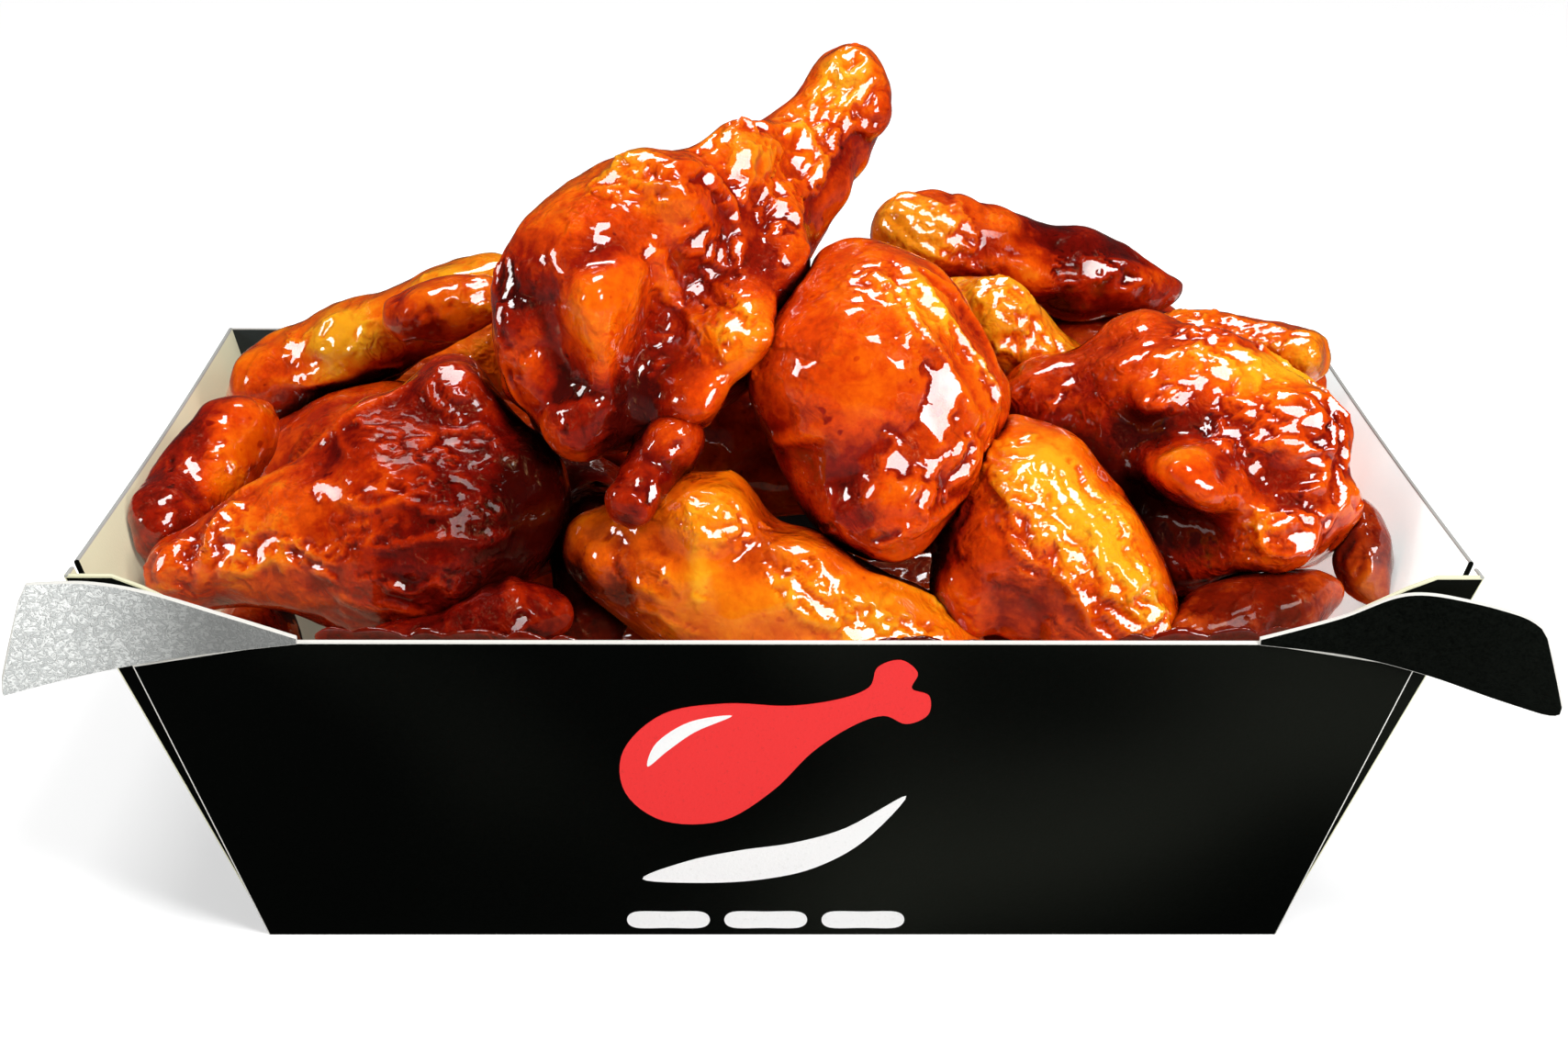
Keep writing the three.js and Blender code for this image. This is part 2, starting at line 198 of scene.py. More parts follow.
def grain_texture(name: str, size: float) -> bpy.types.Texture:
    """Makes a clouded texture for a Displace modifier, once per name.

    Args:
        name: the texture's name.
        size: its grain in metres.

    Returns:
        The texture.
    """
    if name in bpy.data.textures:
        return bpy.data.textures[name]
    texture = bpy.data.textures.new(name, "CLOUDS")
    texture.noise_scale = size
    texture.noise_depth = 1
    return texture


class Skin:
    """A mesh's points, normals and edges as arrays, so that they can be shaped together."""

    TAPER = 5  # how fast a ridge rises from its ends
    END_SHARE = 0.25  # and how much of it there is at the very ends
    CREASE_BREADTH = 1.35  # how much broader a crease is than a ridge of the same width
    CREASE_DEPTH = 0.55  # and how much of its height it keeps
    LOBE_STEEPNESS = 1.3
    LEAST_AIM = 0.2  # keeps skin that faces away from the lobe's middle from being pulled along
    LOBE_EDGE = 1.02  # where the crease round a lobe lies, in radii
    LOBE_CREASE = 0.24  # how broad that crease is, in radii
    RING_DEPTH = 0.6  # how much of its depth it gets
    FLAT_CORE = 1.2  # how high a flat's middle lies over its ragged edge
    FLAT_EDGE = (0.22, 0.26)  # where that edge begins and how broad it is
    FACET_EDGE = 0.25
    FLAT_RAGGED, FACET_RAGGED = 0.5, 0.6  # how uneven a flat's and a facet's edge is
    FLAT_GRAIN, FACET_GRAIN = 0.0021, 0.0014  # size of the bits of its edge
    FLAT_REACH, FACET_REACH = 0.0016, 0.0006  # how far it may move a point
    FACET_SIZES = (0.5, 1.2)  # least and greatest, as shares of the size asked for
    FACET_END = 1.5  # past how many radii it is left alone
    FACET_TURN = 0.9  # least cosine between the skin and the way a facet has to face
    FACET_WOBBLE = 0.028  # how unevenly the facets face
    FACET_STRETCH = 0.65  # what is taken off distances along a facet

    def __init__(self, piece: Piece) -> None:
        """Reads the mesh of one piece.

        Args:
            piece: the mesh object.
        """
        self.piece = piece
        self.mesh = piece.data
        self.count = len(self.mesh.vertices)
        self.points = self._read("co")
        self.normals = self._read("normal")
        pairs = np.empty(len(self.mesh.edges) * 2, np.int32)
        self.mesh.edges.foreach_get("vertices", pairs)
        self.edges = pairs.reshape(-1, 2)

    def _read(self, name: str) -> Array:
        """Reads one vector per vertex.

        Args:
            name: "co" or "normal".

        Returns:
            One row per vertex.
        """
        values = np.empty(self.count * 3, np.float32)
        self.mesh.vertices.foreach_get(name, values)
        return values.reshape(-1, 3).astype(float)

    def write(self) -> None:
        """Puts the moved points back and reads the new normals."""
        self.mesh.vertices.foreach_set("co", self.points.astype(np.float32).ravel())
        self.mesh.update()
        self.normals = self._read("normal")

    def store(self, name: str, values: Array) -> None:
        """Keeps one value per vertex for the finishes to read."""
        layer = self.mesh.attributes.new(name, "FLOAT", "POINT")
        layer.data.foreach_set("value", values.astype(np.float32))

    def relaxed(self, values: Array, rounds: int) -> Array:
        """Averages values over neighbouring vertices.

        Args:
            values: one row per vertex.
            rounds: how many times each vertex meets its neighbours.

        Returns:
            The evened values.
        """
        first, second = self.edges.T
        degree = sum(np.bincount(ends, minlength=self.count) for ends in (first, second))
        degree = np.maximum(degree, 1)[:, None]
        for _ in range(rounds):
            total = np.empty_like(values)
            for axis in range(values.shape[1]):
                column = values[:, axis]
                total[:, axis] = np.bincount(first, column[second], self.count)
                total[:, axis] += np.bincount(second, column[first], self.count)
            values = (values + total / degree) / 2
        return values

    def even_out(self, rounds: int) -> None:
        """Wears edges away, and gives back the bulk that this costs.

        Args:
            rounds: how far the evening reaches.
        """
        soft = self.relaxed(self.points, rounds)
        self.points = soft + self.relaxed(self.points - soft, rounds)
        self.write()

    def hollow(self, rounds: int) -> Array:
        """How far each point lies under its evened surroundings, in metres."""
        gap = self.relaxed(self.points, rounds) - self.points
        return np.einsum("ij,ij->i", gap, self.normals)

    def distance_to(self, path: Array) -> tuple[Array, Array, Array]:
        """Distance of every point to a path, where along it, and the path's nearest point.

        Args:
            path: the path's points.

        Returns:
            The distances, the places from 0 to 1 and the nearest points.
        """
        best = np.full(self.count, np.inf)
        place = np.zeros(self.count)
        foot = np.zeros((self.count, 3))
        parts = len(path) - 1
        for index in range(parts):
            start, run = path[index], path[index + 1] - path[index]
            share = np.clip((self.points - start) @ run / max(run @ run, 1e-12), 0, 1)
            near = start + share[:, None] * run
            gap = np.linalg.norm(self.points - near, axis=1)
            nearer = gap < best
            best[nearer] = gap[nearer]
            place[nearer] = (index + share[nearer]) / parts
            foot[nearer] = near[nearer]
        return best, place, foot

    def raise_along(self, path: Array, width: float, height: float) -> None:
        """Raises a ridge, or with a negative height presses a crease, along a path.

        Args:
            path: points on the skin.
            width: half width of the ridge.
            height: its height.
        """
        gap, place, _ = self.distance_to(path)
        if height < 0:
            width, height = self.CREASE_BREADTH * width, self.CREASE_DEPTH * height
        taper = np.clip(np.minimum(place, 1 - place) * self.TAPER + self.END_SHARE, 0, 1)
        lift = height * np.exp(-((gap / width) ** 2)) * taper
        self.points += self.normals * lift[:, None]

    def swell(self, index: int, radius: float, height: float, ring: float) -> None:
        """Raises a soft lobe round one point, with a crease round it.

        Args:
            index: the point.
            radius: the lobe's radius.
            height: how far it stands out.
            ring: how deep the crease round it is.
        """
        gap = np.linalg.norm(self.points - self.points[index], axis=1) / radius
        aim = self.normals + self.normals[index]
        aim /= np.maximum(np.linalg.norm(aim, axis=1), self.LEAST_AIM)[:, None]
        lift = height * np.clip(1 - gap ** 2, 0, 1) ** self.LOBE_STEEPNESS
        across = (gap - self.LOBE_EDGE) / self.LOBE_CREASE
        lift -= self.RING_DEPTH * ring * np.exp(-(across ** 2))
        self.points += aim * lift[:, None]

    def islands(self, near: Array, size: float) -> Array:
        """An uneven field over some points, from about -1 to 1.

        Args:
            near: the points' indices.
            size: size of its islands.

        Returns:
            One value per point.
        """
        return np.array([noise.noise(Vector(place)) for place in self.points[near] / size])

    def flatten_along(self, path: Array, width: float) -> None:
        """Turns the skin along a path, with a ragged edge, to throw a lamp's light at the viewer.

        Args:
            path: points on the skin.
            width: half width of the flat.
        """
        gap, _, foot = self.distance_to(path)
        near = np.flatnonzero(gap < width)
        facing = self.normals[near].mean(0)
        aims = glints(path.mean(0))
        aim = aims[int(np.argmax(aims @ facing))]
        level = self.FLAT_CORE * (1 - gap[near] / width)
        level = level + self.FLAT_RAGGED * self.islands(near, self.FLAT_GRAIN)
        start, breadth = self.FLAT_EDGE
        share = np.clip((level - start) / breadth, 0, 1)
        share = share * share * (3 - 2 * share) * (self.normals[near] @ facing > 0)
        lift = ((foot[near] - self.points[near]) @ aim) * share
        self.points[near] += aim * np.clip(lift, -self.FLAT_REACH, self.FLAT_REACH)[:, None]

    def facet(self, near: Array, count: int, size: float, along: Array, dice: random.Random) -> None:
        """Turns small ragged facets of the skin to throw a lamp's light at the viewer.

        Args:
            near: indices of the points they are scattered over.
            count: how many are tried; those that would have to turn too far are left out.
            size: a facet's radius.
            along: the way they are drawn out to nearly three times their breadth.
            dice: gives their places.
        """
        seeds = near[[dice.randrange(len(near)) for _ in range(count)]]
        aims = glints(self.points[seeds])
        fits = np.einsum("sij,sj->si", aims, self.normals[seeds])
        best = fits.argmax(1)
        kept = fits[np.arange(count), best] > self.FACET_TURN
        seeds, aims = seeds[kept], aims[np.arange(count), best][kept]
        if not len(seeds):
            return
        wobble = np.array([[dice.gauss(0, 1) for _ in range(3)] for _ in seeds])
        aims = unit(aims + self.FACET_WOBBLE * wobble)
        reach = size * np.array([dice.uniform(*self.FACET_SIZES) for _ in seeds])
        centres = self.points[seeds]
        shrunk = self.points - self.FACET_STRETCH * (self.points @ along)[:, None] * along
        squares = (shrunk[near] ** 2).sum(1)[:, None] + (shrunk[seeds] ** 2).sum(1)
        away = np.sqrt(np.maximum(squares - 2 * shrunk[near] @ shrunk[seeds].T, 0)) / reach
        first, away = away.argmin(1), away.min(1)
        close = away < self.FACET_END
        near, first, away = near[close], first[close], away[close]
        level = 1 - away + self.FACET_RAGGED * self.islands(near, self.FACET_GRAIN)
        share = np.clip(level / self.FACET_EDGE, 0, 1)
        lift = np.einsum("ij,ij->i", centres[first] - self.points[near], aims[first]) * share
        lift = np.clip(lift, -self.FACET_REACH, self.FACET_REACH)
        self.points[near] += aims[first] * lift[:, None]


# ---- finishes ----


class Nodes:
    """Short ways to add nodes to a material's or a group's tree."""

    def __init__(self, tree: bpy.types.NodeTree) -> None:
        """Works on one node tree."""
        self.tree = tree

    def add(self, kind: str, **settings: object) -> bpy.types.Node:
        """Adds a node with its settings.

        Args:
            kind: Blender's name for the node type.
            settings: values set on the node by name.

        Returns:
            The node.
        """
        node = self.tree.nodes.new(kind)
        for name, value in settings.items():
            setattr(node, name, value)
        return node

    def link(self, source: Socket, target: Socket) -> None:
        """Joins an output to an input."""
        self.tree.links.new(source, target)

    def feed(self, sockets: Iterable[Socket], values: Iterable[object]) -> None:
        """Gives inputs their values.

        Args:
            sockets: the inputs.
            values: an output to join, a number or a plain colour for each of them.
        """
        for socket, value in zip(sockets, values):
            if isinstance(value, Socket):
                self.link(value, socket)
            else:
                socket.default_value = (*value, 1) if isinstance(value, tuple) else value

    def math(self, operation: str, *values: object) -> Socket:
        """Adds a Math node.

        Args:
            operation: Blender's name for what it does.
            values: a socket or a number for each input that it uses.

        Returns:
            Its output.
        """
        node = self.add("ShaderNodeMath", operation=operation)
        self.feed(node.inputs, values)
        return node.outputs[0]

    def noise(self, vector: Socket, size: float, detail: float = 2.0,
              roughness: float = 0.5, distortion: float = 0.0) -> Socket:
        """Adds a noise.

        Args:
            vector: the place it is read at.
            size: about how large its lumps are, in metres.
            detail: octaves of finer lumps.
            roughness: how strong those are.
            distortion: how far its lines wander.

        Returns:
            Its value, from 0 to 1.
        """
        node = self.add("ShaderNodeTexNoise")
        node.inputs["Scale"].default_value = 1 / size
        node.inputs["Detail"].default_value = detail
        node.inputs["Roughness"].default_value = roughness
        node.inputs["Distortion"].default_value = distortion
        self.link(vector, node.inputs["Vector"])
        return node.outputs["Fac"]

    def span(self, value: Socket, low: float, high: float, to_low: float = 0.0,
             to_high: float = 1.0) -> Socket:
        """Maps a value's span smoothly onto another.

        Args:
            value: the value.
            low: start of its span.
            high: end of its span.
            to_low: what the start becomes.
            to_high: what the end becomes.

        Returns:
            The mapped value.
        """
        node = self.add("ShaderNodeMapRange", interpolation_type="SMOOTHSTEP")
        ends = {"From Min": low, "From Max": high, "To Min": to_low, "To Max": to_high}
        for name, number in ends.items():
            node.inputs[name].default_value = number
        self.link(value, node.inputs["Value"])
        return node.outputs["Result"]

    def ramp(self, value: Socket, stops: Sequence[tuple[float, Point]]) -> Socket:
        """Adds a colour ramp.

        Args:
            value: what runs along the ramp.
            stops: places from 0 to 1 with their linear colours.

        Returns:
            The colour.
        """
        node = self.add("ShaderNodeValToRGB")
        elements = node.color_ramp.elements
        while len(elements) < len(stops):
            elements.new(0.5)
        for element, (place, colour) in zip(elements, stops):
            element.position = place
            element.color = (*colour, 1)
        self.link(value, node.inputs["Fac"])
        return node.outputs["Color"]

    def mix(self, share: object, first: object, second: object) -> Socket:
        """Mixes two colours, each a socket or a plain colour.

        Args:
            share: how much of the second shows.
            first: the first colour.
            second: the second colour.

        Returns:
            The mixed colour.
        """
        node = self.add("ShaderNodeMix", data_type="RGBA")
        self.feed([node.inputs[index] for index in (0, 6, 7)], (share, first, second))
        return node.outputs[2]

    def bump(self, height: Socket, distance: float) -> Socket:
        """Adds a bump.

        Args:
            height: how far each place is raised, from 0 to 1.
            distance: how far 1 stands for, in metres.

        Returns:
            The bumped normal.
        """
        node = self.add("ShaderNodeBump")
        node.inputs["Distance"].default_value = distance
        self.link(height, node.inputs["Height"])
        return node.outputs["Normal"]


class Unevenness:
    """A node group of masks and heights that vary over a surface, shared by several finishes."""

    NAME: str
    INPUTS: tuple[str, ...]  # numbers that each finish gives, besides the place
    OUTPUTS: tuple[str, ...]

    @classmethod
    def group(cls) -> bpy.types.NodeTree:
        """Builds the group on first use.

        Returns:
            The group.
        """
        if cls.NAME in bpy.data.node_groups:
            return bpy.data.node_groups[cls.NAME]
        group = bpy.data.node_groups.new(cls.NAME, "ShaderNodeTree")
        group.interface.new_socket("Vector", in_out="INPUT", socket_type="NodeSocketVector")
        for label in cls.INPUTS:
            group.interface.new_socket(label, in_out="INPUT", socket_type="NodeSocketFloat")
        for label in cls.OUTPUTS:
            group.interface.new_socket(label, in_out="OUTPUT", socket_type="NodeSocketFloat")
        nodes = Nodes(group)
        given = nodes.add("NodeGroupInput").outputs
        cls.fill(nodes, given["Vector"], given, nodes.add("NodeGroupOutput").inputs)
        return group

    @classmethod
    def fill(cls, nodes: Nodes, place: Socket, given: Sockets, result: Sockets) -> None:
        """Lays the nodes inside the group; each kind has its own.

        Args:
            nodes: the group's nodes.
            place: the place on the surface.
            given: what the finish gives.
            result: what the group puts out.
        """
        raise NotImplementedError

    @classmethod
    def put_in(cls, nodes: Nodes, place: Socket, *values: object) -> Sockets:
        """Places the group in a material.

        Args:
            nodes: the material's nodes.
            place: the Object coordinates.
            values: a socket or a number for each of its inputs, in their order.

        Returns:
            Its outputs.
        """
        node = nodes.add("ShaderNodeGroup", node_tree=cls.group())
        nodes.feed(node.inputs, (place, *values))
        return node.outputs


class Mottle(Unevenness):
    """Unevenness of a cooked, glazed surface: its tone, how wet it is, its pores."""

    NAME = "Glaze mottle"
    INPUTS = ("Tone", "Blotch", "Speck", "Crisp")
    OUTPUTS = ("Tone", "Wet", "Height")

    @classmethod
    def fill(cls, nodes: Nodes, place: Socket, given: Sockets, result: Sockets) -> None:
        """Darkens and lightens the tone in blotches, veins and specks, and roughens the dry parts."""
        blotch = nodes.noise(place, 0.016, 2, 0.5, 0.5)
        vein = nodes.noise(place, 0.0048, 3, 0.6, 1.2)
        speck = nodes.noise(place, 0.0011, 2, 0.6, 0.3)
        fleck = nodes.span(nodes.noise(place, 0.0021, 1, 0.4), 0.7, 0.78, 0.0, 0.6)
        broad = nodes.math("MULTIPLY", nodes.math("SUBTRACT", blotch, 0.5), given["Blotch"])
        vein_depth = nodes.math("MULTIPLY", given["Blotch"], 0.7)
        veined = nodes.math("MULTIPLY", nodes.math("SUBTRACT", vein, 0.5), vein_depth)
        specks = nodes.math("SUBTRACT", nodes.math("SUBTRACT", speck, 0.5), fleck)
        fine = nodes.math("MULTIPLY", specks, given["Speck"])
        tone = nodes.math("ADD", nodes.math("ADD", given["Tone"], broad), nodes.math("ADD", veined, fine))
        nodes.link(tone, result["Tone"])
        wet = nodes.span(nodes.noise(place, 0.009, 2, 0.5, 0.5), 0.42, 0.58)
        nodes.link(wet, result["Wet"])
        pores = nodes.noise(place, 0.0013, 2, 0.5, 0.5)
        wrinkle = nodes.noise(place, 0.0030, 1, 0.5, 1.6)
        dry = nodes.math("SUBTRACT", 1.0, wet)
        rough = nodes.math("MULTIPLY_ADD", dry, given["Crisp"], 0.16)
        height = nodes.math("ADD", nodes.math("MULTIPLY", pores, 0.5), wrinkle)
        nodes.link(nodes.math("MULTIPLY", height, rough), result["Height"])


class BoardGrain(Unevenness):
    """Fibre and fine unevenness of printed paperboard."""

    NAME = "Board grain"
    INPUTS = ("Patch",)
    OUTPUTS = ("Cloud", "Fibre", "Leather")

    @classmethod
    def fill(cls, nodes: Nodes, place: Socket, given: Sockets, result: Sockets) -> None:
        """Lays soft clouds, fine fibre and a leathery crinkle."""
        cloud = nodes.span(nodes.noise(place, 0.08, 1, 0.4, 0.3), 0.45, 0.85)
        nodes.link(nodes.math("MULTIPLY", cloud, given["Patch"]), result["Cloud"])
        nodes.link(nodes.noise(place, 0.00055, 3, 0.65), result["Fibre"])
        crinkle = nodes.math("SUBTRACT", nodes.noise(place, 0.0011, 2, 0.5, 1.5), 0.5)
        nodes.link(nodes.span(nodes.math("ABSOLUTE", crinkle), 0.0, 0.14), result["Leather"])


class Finish:
    """A named material, made on first use."""

    name: str

    def material(self) -> bpy.types.Material:
        """Makes the material, or returns it if it is there.

        Returns:
            The material.
        """
        name = self.name + "_finish"
        if name in bpy.data.materials:
            return bpy.data.materials[name]
        material = bpy.data.materials.new(name)
        material.use_nodes = True
        material.node_tree.nodes.clear()
        nodes = Nodes(material.node_tree)
        shader = nodes.add("ShaderNodeBsdfPrincipled")
        output = nodes.add("ShaderNodeOutputMaterial")
        nodes.link(shader.outputs[0], output.inputs["Surface"])
        place = nodes.add("ShaderNodeTexCoord").outputs["Object"]
        self.dress(nodes, shader.inputs, place)
        return material

    def dress(self, nodes: Nodes, shader: Sockets, place: Socket) -> None:
        """Sets the shader's sockets; each finish has its own way.

        Args:
            nodes: the material's nodes.
            shader: the shader's inputs.
            place: the Object coordinates.
        """
        raise NotImplementedError

    def put_on(self, piece: Piece) -> None:
        """Gives a piece this finish as its next material slot."""
        piece.data.materials.append(self.material())


# painted shade: the colour the glaze is mixed towards where other wings close it in
PAINTED_GAP_SHADE_COLOUR = (0.012, 0.001, 0.0005)  # of glaze deep between two wings
SHADOW_COLOUR = (0.02, 0.02, 0.018)  # of the silver ear where it bends away


@dataclass(frozen=True)
class Glaze(Finish):
    """Sticky glaze over fried skin, from dark pools to thin gold."""

    name: str
    stops: tuple[tuple[float, Point], ...]
    blotch: float = 0.45  # how strongly blotches, specks and dry wrinkles show
    speck: float = 0.28
    crisp: float = 0.6

    def hand_over(self, piece: Piece, *nodes: str, slot: str = "") -> None:
        """Args:
            piece: the piece.
            nodes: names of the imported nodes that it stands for.
            slot: the record's finish slot, where it isn't the glaze's name.
        """
        activate(piece)
        bpy.ops.object.shade_smooth()
        self.put_on(piece)
        hand_over(piece, slot or self.name, *nodes)

    def dress(self, nodes: Nodes, shader: Sockets, place: Socket) -> None:
        """Colours by the piece's tone attribute, mixed towards a dark colour as painted shade deep in the
        gaps, with a wet gloss that gives out there.
        """
        tone, shade, dull = (
            nodes.add("ShaderNodeAttribute", attribute_name=name, attribute_type="GEOMETRY").outputs["Fac"]
            for name in ("tone", "shade", "dull")
        )
        mottle = Mottle.put_in(nodes, place, tone, self.blotch, self.speck, self.crisp)
        glaze = nodes.ramp(mottle["Tone"], self.stops)
        # painted shade: the deeper in a gap, the nearer the colour goes to the dark gap colour
        painted_gap_shade = nodes.span(shade, 0.35, 0.85, 0.0, 0.92)
        nodes.link(nodes.mix(painted_gap_shade, glaze, PAINTED_GAP_SHADE_COLOUR), shader["Base Color"])
        nodes.link(nodes.span(mottle["Wet"], 0, 1, 0.3, 0.18), shader["Roughness"])
        gloss = nodes.span(mottle["Wet"], 0, 1, 0.75, 1.0)
        lit = nodes.math("MULTIPLY", nodes.span(shade, 0.3, 0.9, 1.0, 0.1), nodes.span(dull, 0, 1, 1.0, 0.0))
        nodes.link(nodes.math("MULTIPLY", gloss, lit), shader["Coat Weight"])
        nodes.link(nodes.bump(mottle["Height"], 0.0009), shader["Normal"])
        shader["Coat Roughness"].default_value = 0.03
        shader["Coat IOR"].default_value = 1.65
        shader["Coat Tint"].default_value = (1.0, 0.86, 0.7, 1)
        shader["Subsurface Weight"].default_value = 0.2
        shader["Subsurface Radius"].default_value = (1.0, 0.24, 0.05)
        shader["Subsurface Scale"].default_value = 0.003
        shader["IOR"].default_value = 1.45
        shader["Specular IOR Level"].default_value = 0.12
        shader["Specular Tint"].default_value = (1.0, 0.62, 0.3, 1)


@dataclass(frozen=True)
class Board(Finish):
    """Coated paperboard: one of the tray's faces."""

    name: str
    dark: Point
    light: Point
    roughness: float = 0.5
    patch: float = 1.0  # how strongly it is clouded from dark to light
    leather: float = 0.0  # how strongly crinkles and fibres show
    fibre: float = 0.25
    shine: float = 0.25
    # painted light: how strongly the board glows, though it is no lamp
    glow: float = 0.0
    fade: Optional[tuple[float, float]] = None  # places across, from full colour to shadow

    def dress(self, nodes: Nodes, shader: Sockets, place: Socket) -> None:
        """Clouds the colour softly and lays fibre or leather grain over it."""
        cloud, fibre, leather = BoardGrain.put_in(nodes, place, self.patch)
        mark = nodes.math("MULTIPLY", nodes.math("SUBTRACT", 1.0, leather), self.leather)
        speckle = nodes.math("MULTIPLY_ADD", fibre, self.fibre, mark)
        share = nodes.math("ADD", cloud, nodes.math("SUBTRACT", speckle, self.fibre / 2))
        colour = nodes.mix(share, self.dark, self.light)
        if self.fade:
            across = nodes.add("ShaderNodeSeparateXYZ")
            nodes.link(place, across.inputs[0])
            shadow = nodes.span(across.outputs["X"], *self.fade, 0.0, 0.85)
            colour = nodes.mix(shadow, colour, SHADOW_COLOUR)
        nodes.link(colour, shader["Base Color"])
        shader["Emission Color"].default_value = (*self.light, 1)
        shader["Emission Strength"].default_value = self.glow
        worn = nodes.span(fibre, 0.3, 0.7, self.roughness - 0.06, self.roughness + 0.08)
        nodes.link(worn, shader["Roughness"])
        height = nodes.math("MULTIPLY_ADD", leather, self.leather * 2, nodes.math("MULTIPLY", fibre, 0.4))
        nodes.link(nodes.bump(height, 0.00012), shader["Normal"])
        shader["Specular IOR Level"].default_value = self.shine


@dataclass(frozen=True)
class Ink(Finish):
    """A printed field of plain colour, slightly worn."""

    name: str
    colour: Point
    worn: Point

    def dress(self, nodes: Nodes, shader: Sockets, place: Socket) -> None:
        """Thins the ink in small flecks."""
        cloud, fibre, _ = BoardGrain.put_in(nodes, place, 1.0)
        fleck = nodes.span(fibre, 0.56, 0.74, 0.0, 0.5)
        nodes.link(nodes.mix(fleck, self.colour, self.worn), shader["Base Color"])
        nodes.link(nodes.span(cloud, 0, 1, 0.38, 0.55), shader["Roughness"])
        nodes.link(nodes.bump(fibre, 0.00006), shader["Normal"])


def stops(*colours: Point) -> tuple[tuple[float, Point], ...]:
    """Spaces five glaze colours along the tone.

    Args:
        colours: from the darkest pool to the thinnest gold.

    Returns:
        Places with their colours.
    """
    return tuple(zip((0.0, 0.25, 0.48, 0.7, 1.0), colours))


AMBER = Glaze("glaze_amber", stops(
    (0.07, 0.004, 0.001),
    (0.42, 0.035, 0.001),
    (0.8, 0.13, 0.002),
    (0.94, 0.26, 0.004),
    (1.0, 0.52, 0.02),
))
ORANGE = Glaze("glaze_orange", stops(
    (0.06, 0.002, 0.001),
    (0.3, 0.009, 0.001),
    (0.7, 0.062, 0.001),
    (0.9, 0.17, 0.002),
    (1.0, 0.46, 0.015),
))
RED = Glaze("glaze_red", stops(
    (0.03, 0.001, 0.0005),
    (0.15, 0.003, 0.001),
    (0.42, 0.02, 0.001),
    (0.76, 0.09, 0.002),
    (0.96, 0.34, 0.012),
))
DARK = Glaze("glaze_dark", stops(
    (0.012, 0.001, 0.0005),
    (0.06, 0.003, 0.001),
    (0.18, 0.008, 0.001),
    (0.45, 0.05, 0.003),
    (0.8, 0.2, 0.01),
))
# painted sheen: the black board's lighter clouds stand for soft reflections on its coating
BLACK_BOARD = Board(
    "board_black", (0.0006, 0.0011, 0.0006), (0.016, 0.018, 0.013), roughness=0.42, patch=0.8, fibre=0.1,
    shine=0.06)
# painted light: the cream inner faces glow a little
CREAM_BOARD = Board("board_cream", (0.62, 0.6, 0.41), (0.88, 0.9, 0.69), patch=0.8, glow=0.14)
# painted light: the right wall's inner face glows, and is tinted cyan against the red light the heap throws
# on it
GLOWING_WHITE_BOARD = Board("board_white_painted_glow", (0.84, 0.93, 0.92), (0.9, 0.99, 0.98), patch=0.8, glow=0.5)
# painted shade: the base's inner face is dark sauce-brown so that it stays dark where it shows between the
# wings
PAINTED_SHADE_BASE_BOARD = Board("board_base_painted_shade", (0.03, 0.006, 0.002), (0.22, 0.07, 0.02), roughness=0.35, patch=0.8)
CORE_BOARD = Board("board_core", (0.72, 0.71, 0.66), (0.9, 0.9, 0.87), roughness=0.8, patch=0.4)
# painted sheen: the left ear is black board coloured silver for a lamp's reflection in its coating, with a
# painted glow and a painted shadow where it bends away
PAINTED_SHEEN_SILVER_BOARD = Board(
    "board_silver_painted_sheen", (0.5, 0.52, 0.51), (0.98, 1.0, 0.97), roughness=0.38, patch=0.8, leather=0.8,
    fibre=0.6, glow=0.12, fade=(-0.103, -0.077))
SPECKLED_BOARD = Board(
    "board_speckled", (0.001, 0.0016, 0.001), (0.016, 0.02, 0.015), roughness=0.45, patch=0.2, leather=0.1,
    fibre=0.4, shine=0.04)
# painted sheen: the black board of the back wall and its lip is lightened to dark grey
LIP_BOARD = Board("board_lip", (0.014, 0.019, 0.018), (0.04, 0.048, 0.044), roughness=0.6)
GREY_EDGE = Board("board_grey_edge", (0.42, 0.42, 0.4), (0.6, 0.6, 0.58), roughness=0.6, patch=0.4)
RED_INK = Ink("ink_red", (0.92, 0.02, 0.02), (0.7, 0.012, 0.012))
WHITE_INK = Ink("ink_white", (0.96, 0.96, 0.95), (0.8, 0.8, 0.78))
TRAY_SLOT = "tray_card"  # the record's slot for every face of the tray and its print


# ---- the lights ----

TILT = math.radians(18.34)  # how far a wing's face is looked at from above
ACROSS = np.array((1.0, 0.0, 0.0))
UP = np.array((0.0, math.sin(TILT), math.cos(TILT)))
GLEAM_WAY = UP + 0.6 * ACROSS  # the way in which gleams are drawn out
TOWARDS = np.array((0.0, -math.cos(TILT), math.sin(TILT)))
HEAP_MIDDLE = (0.0, -0.02, 0.07)
EYE = (-0.004, -0.460, 0.201)  # where the viewer stands


def unit(vectors: Array) -> Array:
    """Vectors of length one that point the same ways."""
    return vectors / np.linalg.norm(vectors, axis=-1, keepdims=True)


@dataclass(frozen=True)
class Lamp:
    """A soft lamp that looks at the middle of the heap."""

    name: str
    place: Point
    size: tuple[float, float]
    power: float

    def glint(self, spots: Array) -> Array:
        """The ways skin at some spots faces where it throws this lamp's light at the viewer."""
        return unit(unit(np.array(self.place) - spots) + unit(np.array(EYE) - spots))

    def build(self) -> None:
        """Hangs the lamp."""
        light = bpy.data.lights.new(self.name, "AREA")
        light.shape = "RECTANGLE"
        light.size, light.size_y = self.size
        light.energy = self.power
        lamp = add_object(self.name, light)
        lamp.location = self.place
        aim = Vector(HEAP_MIDDLE) - Vector(self.place)
        lamp.rotation_euler = aim.to_track_quat("-Z", "Y").to_euler()


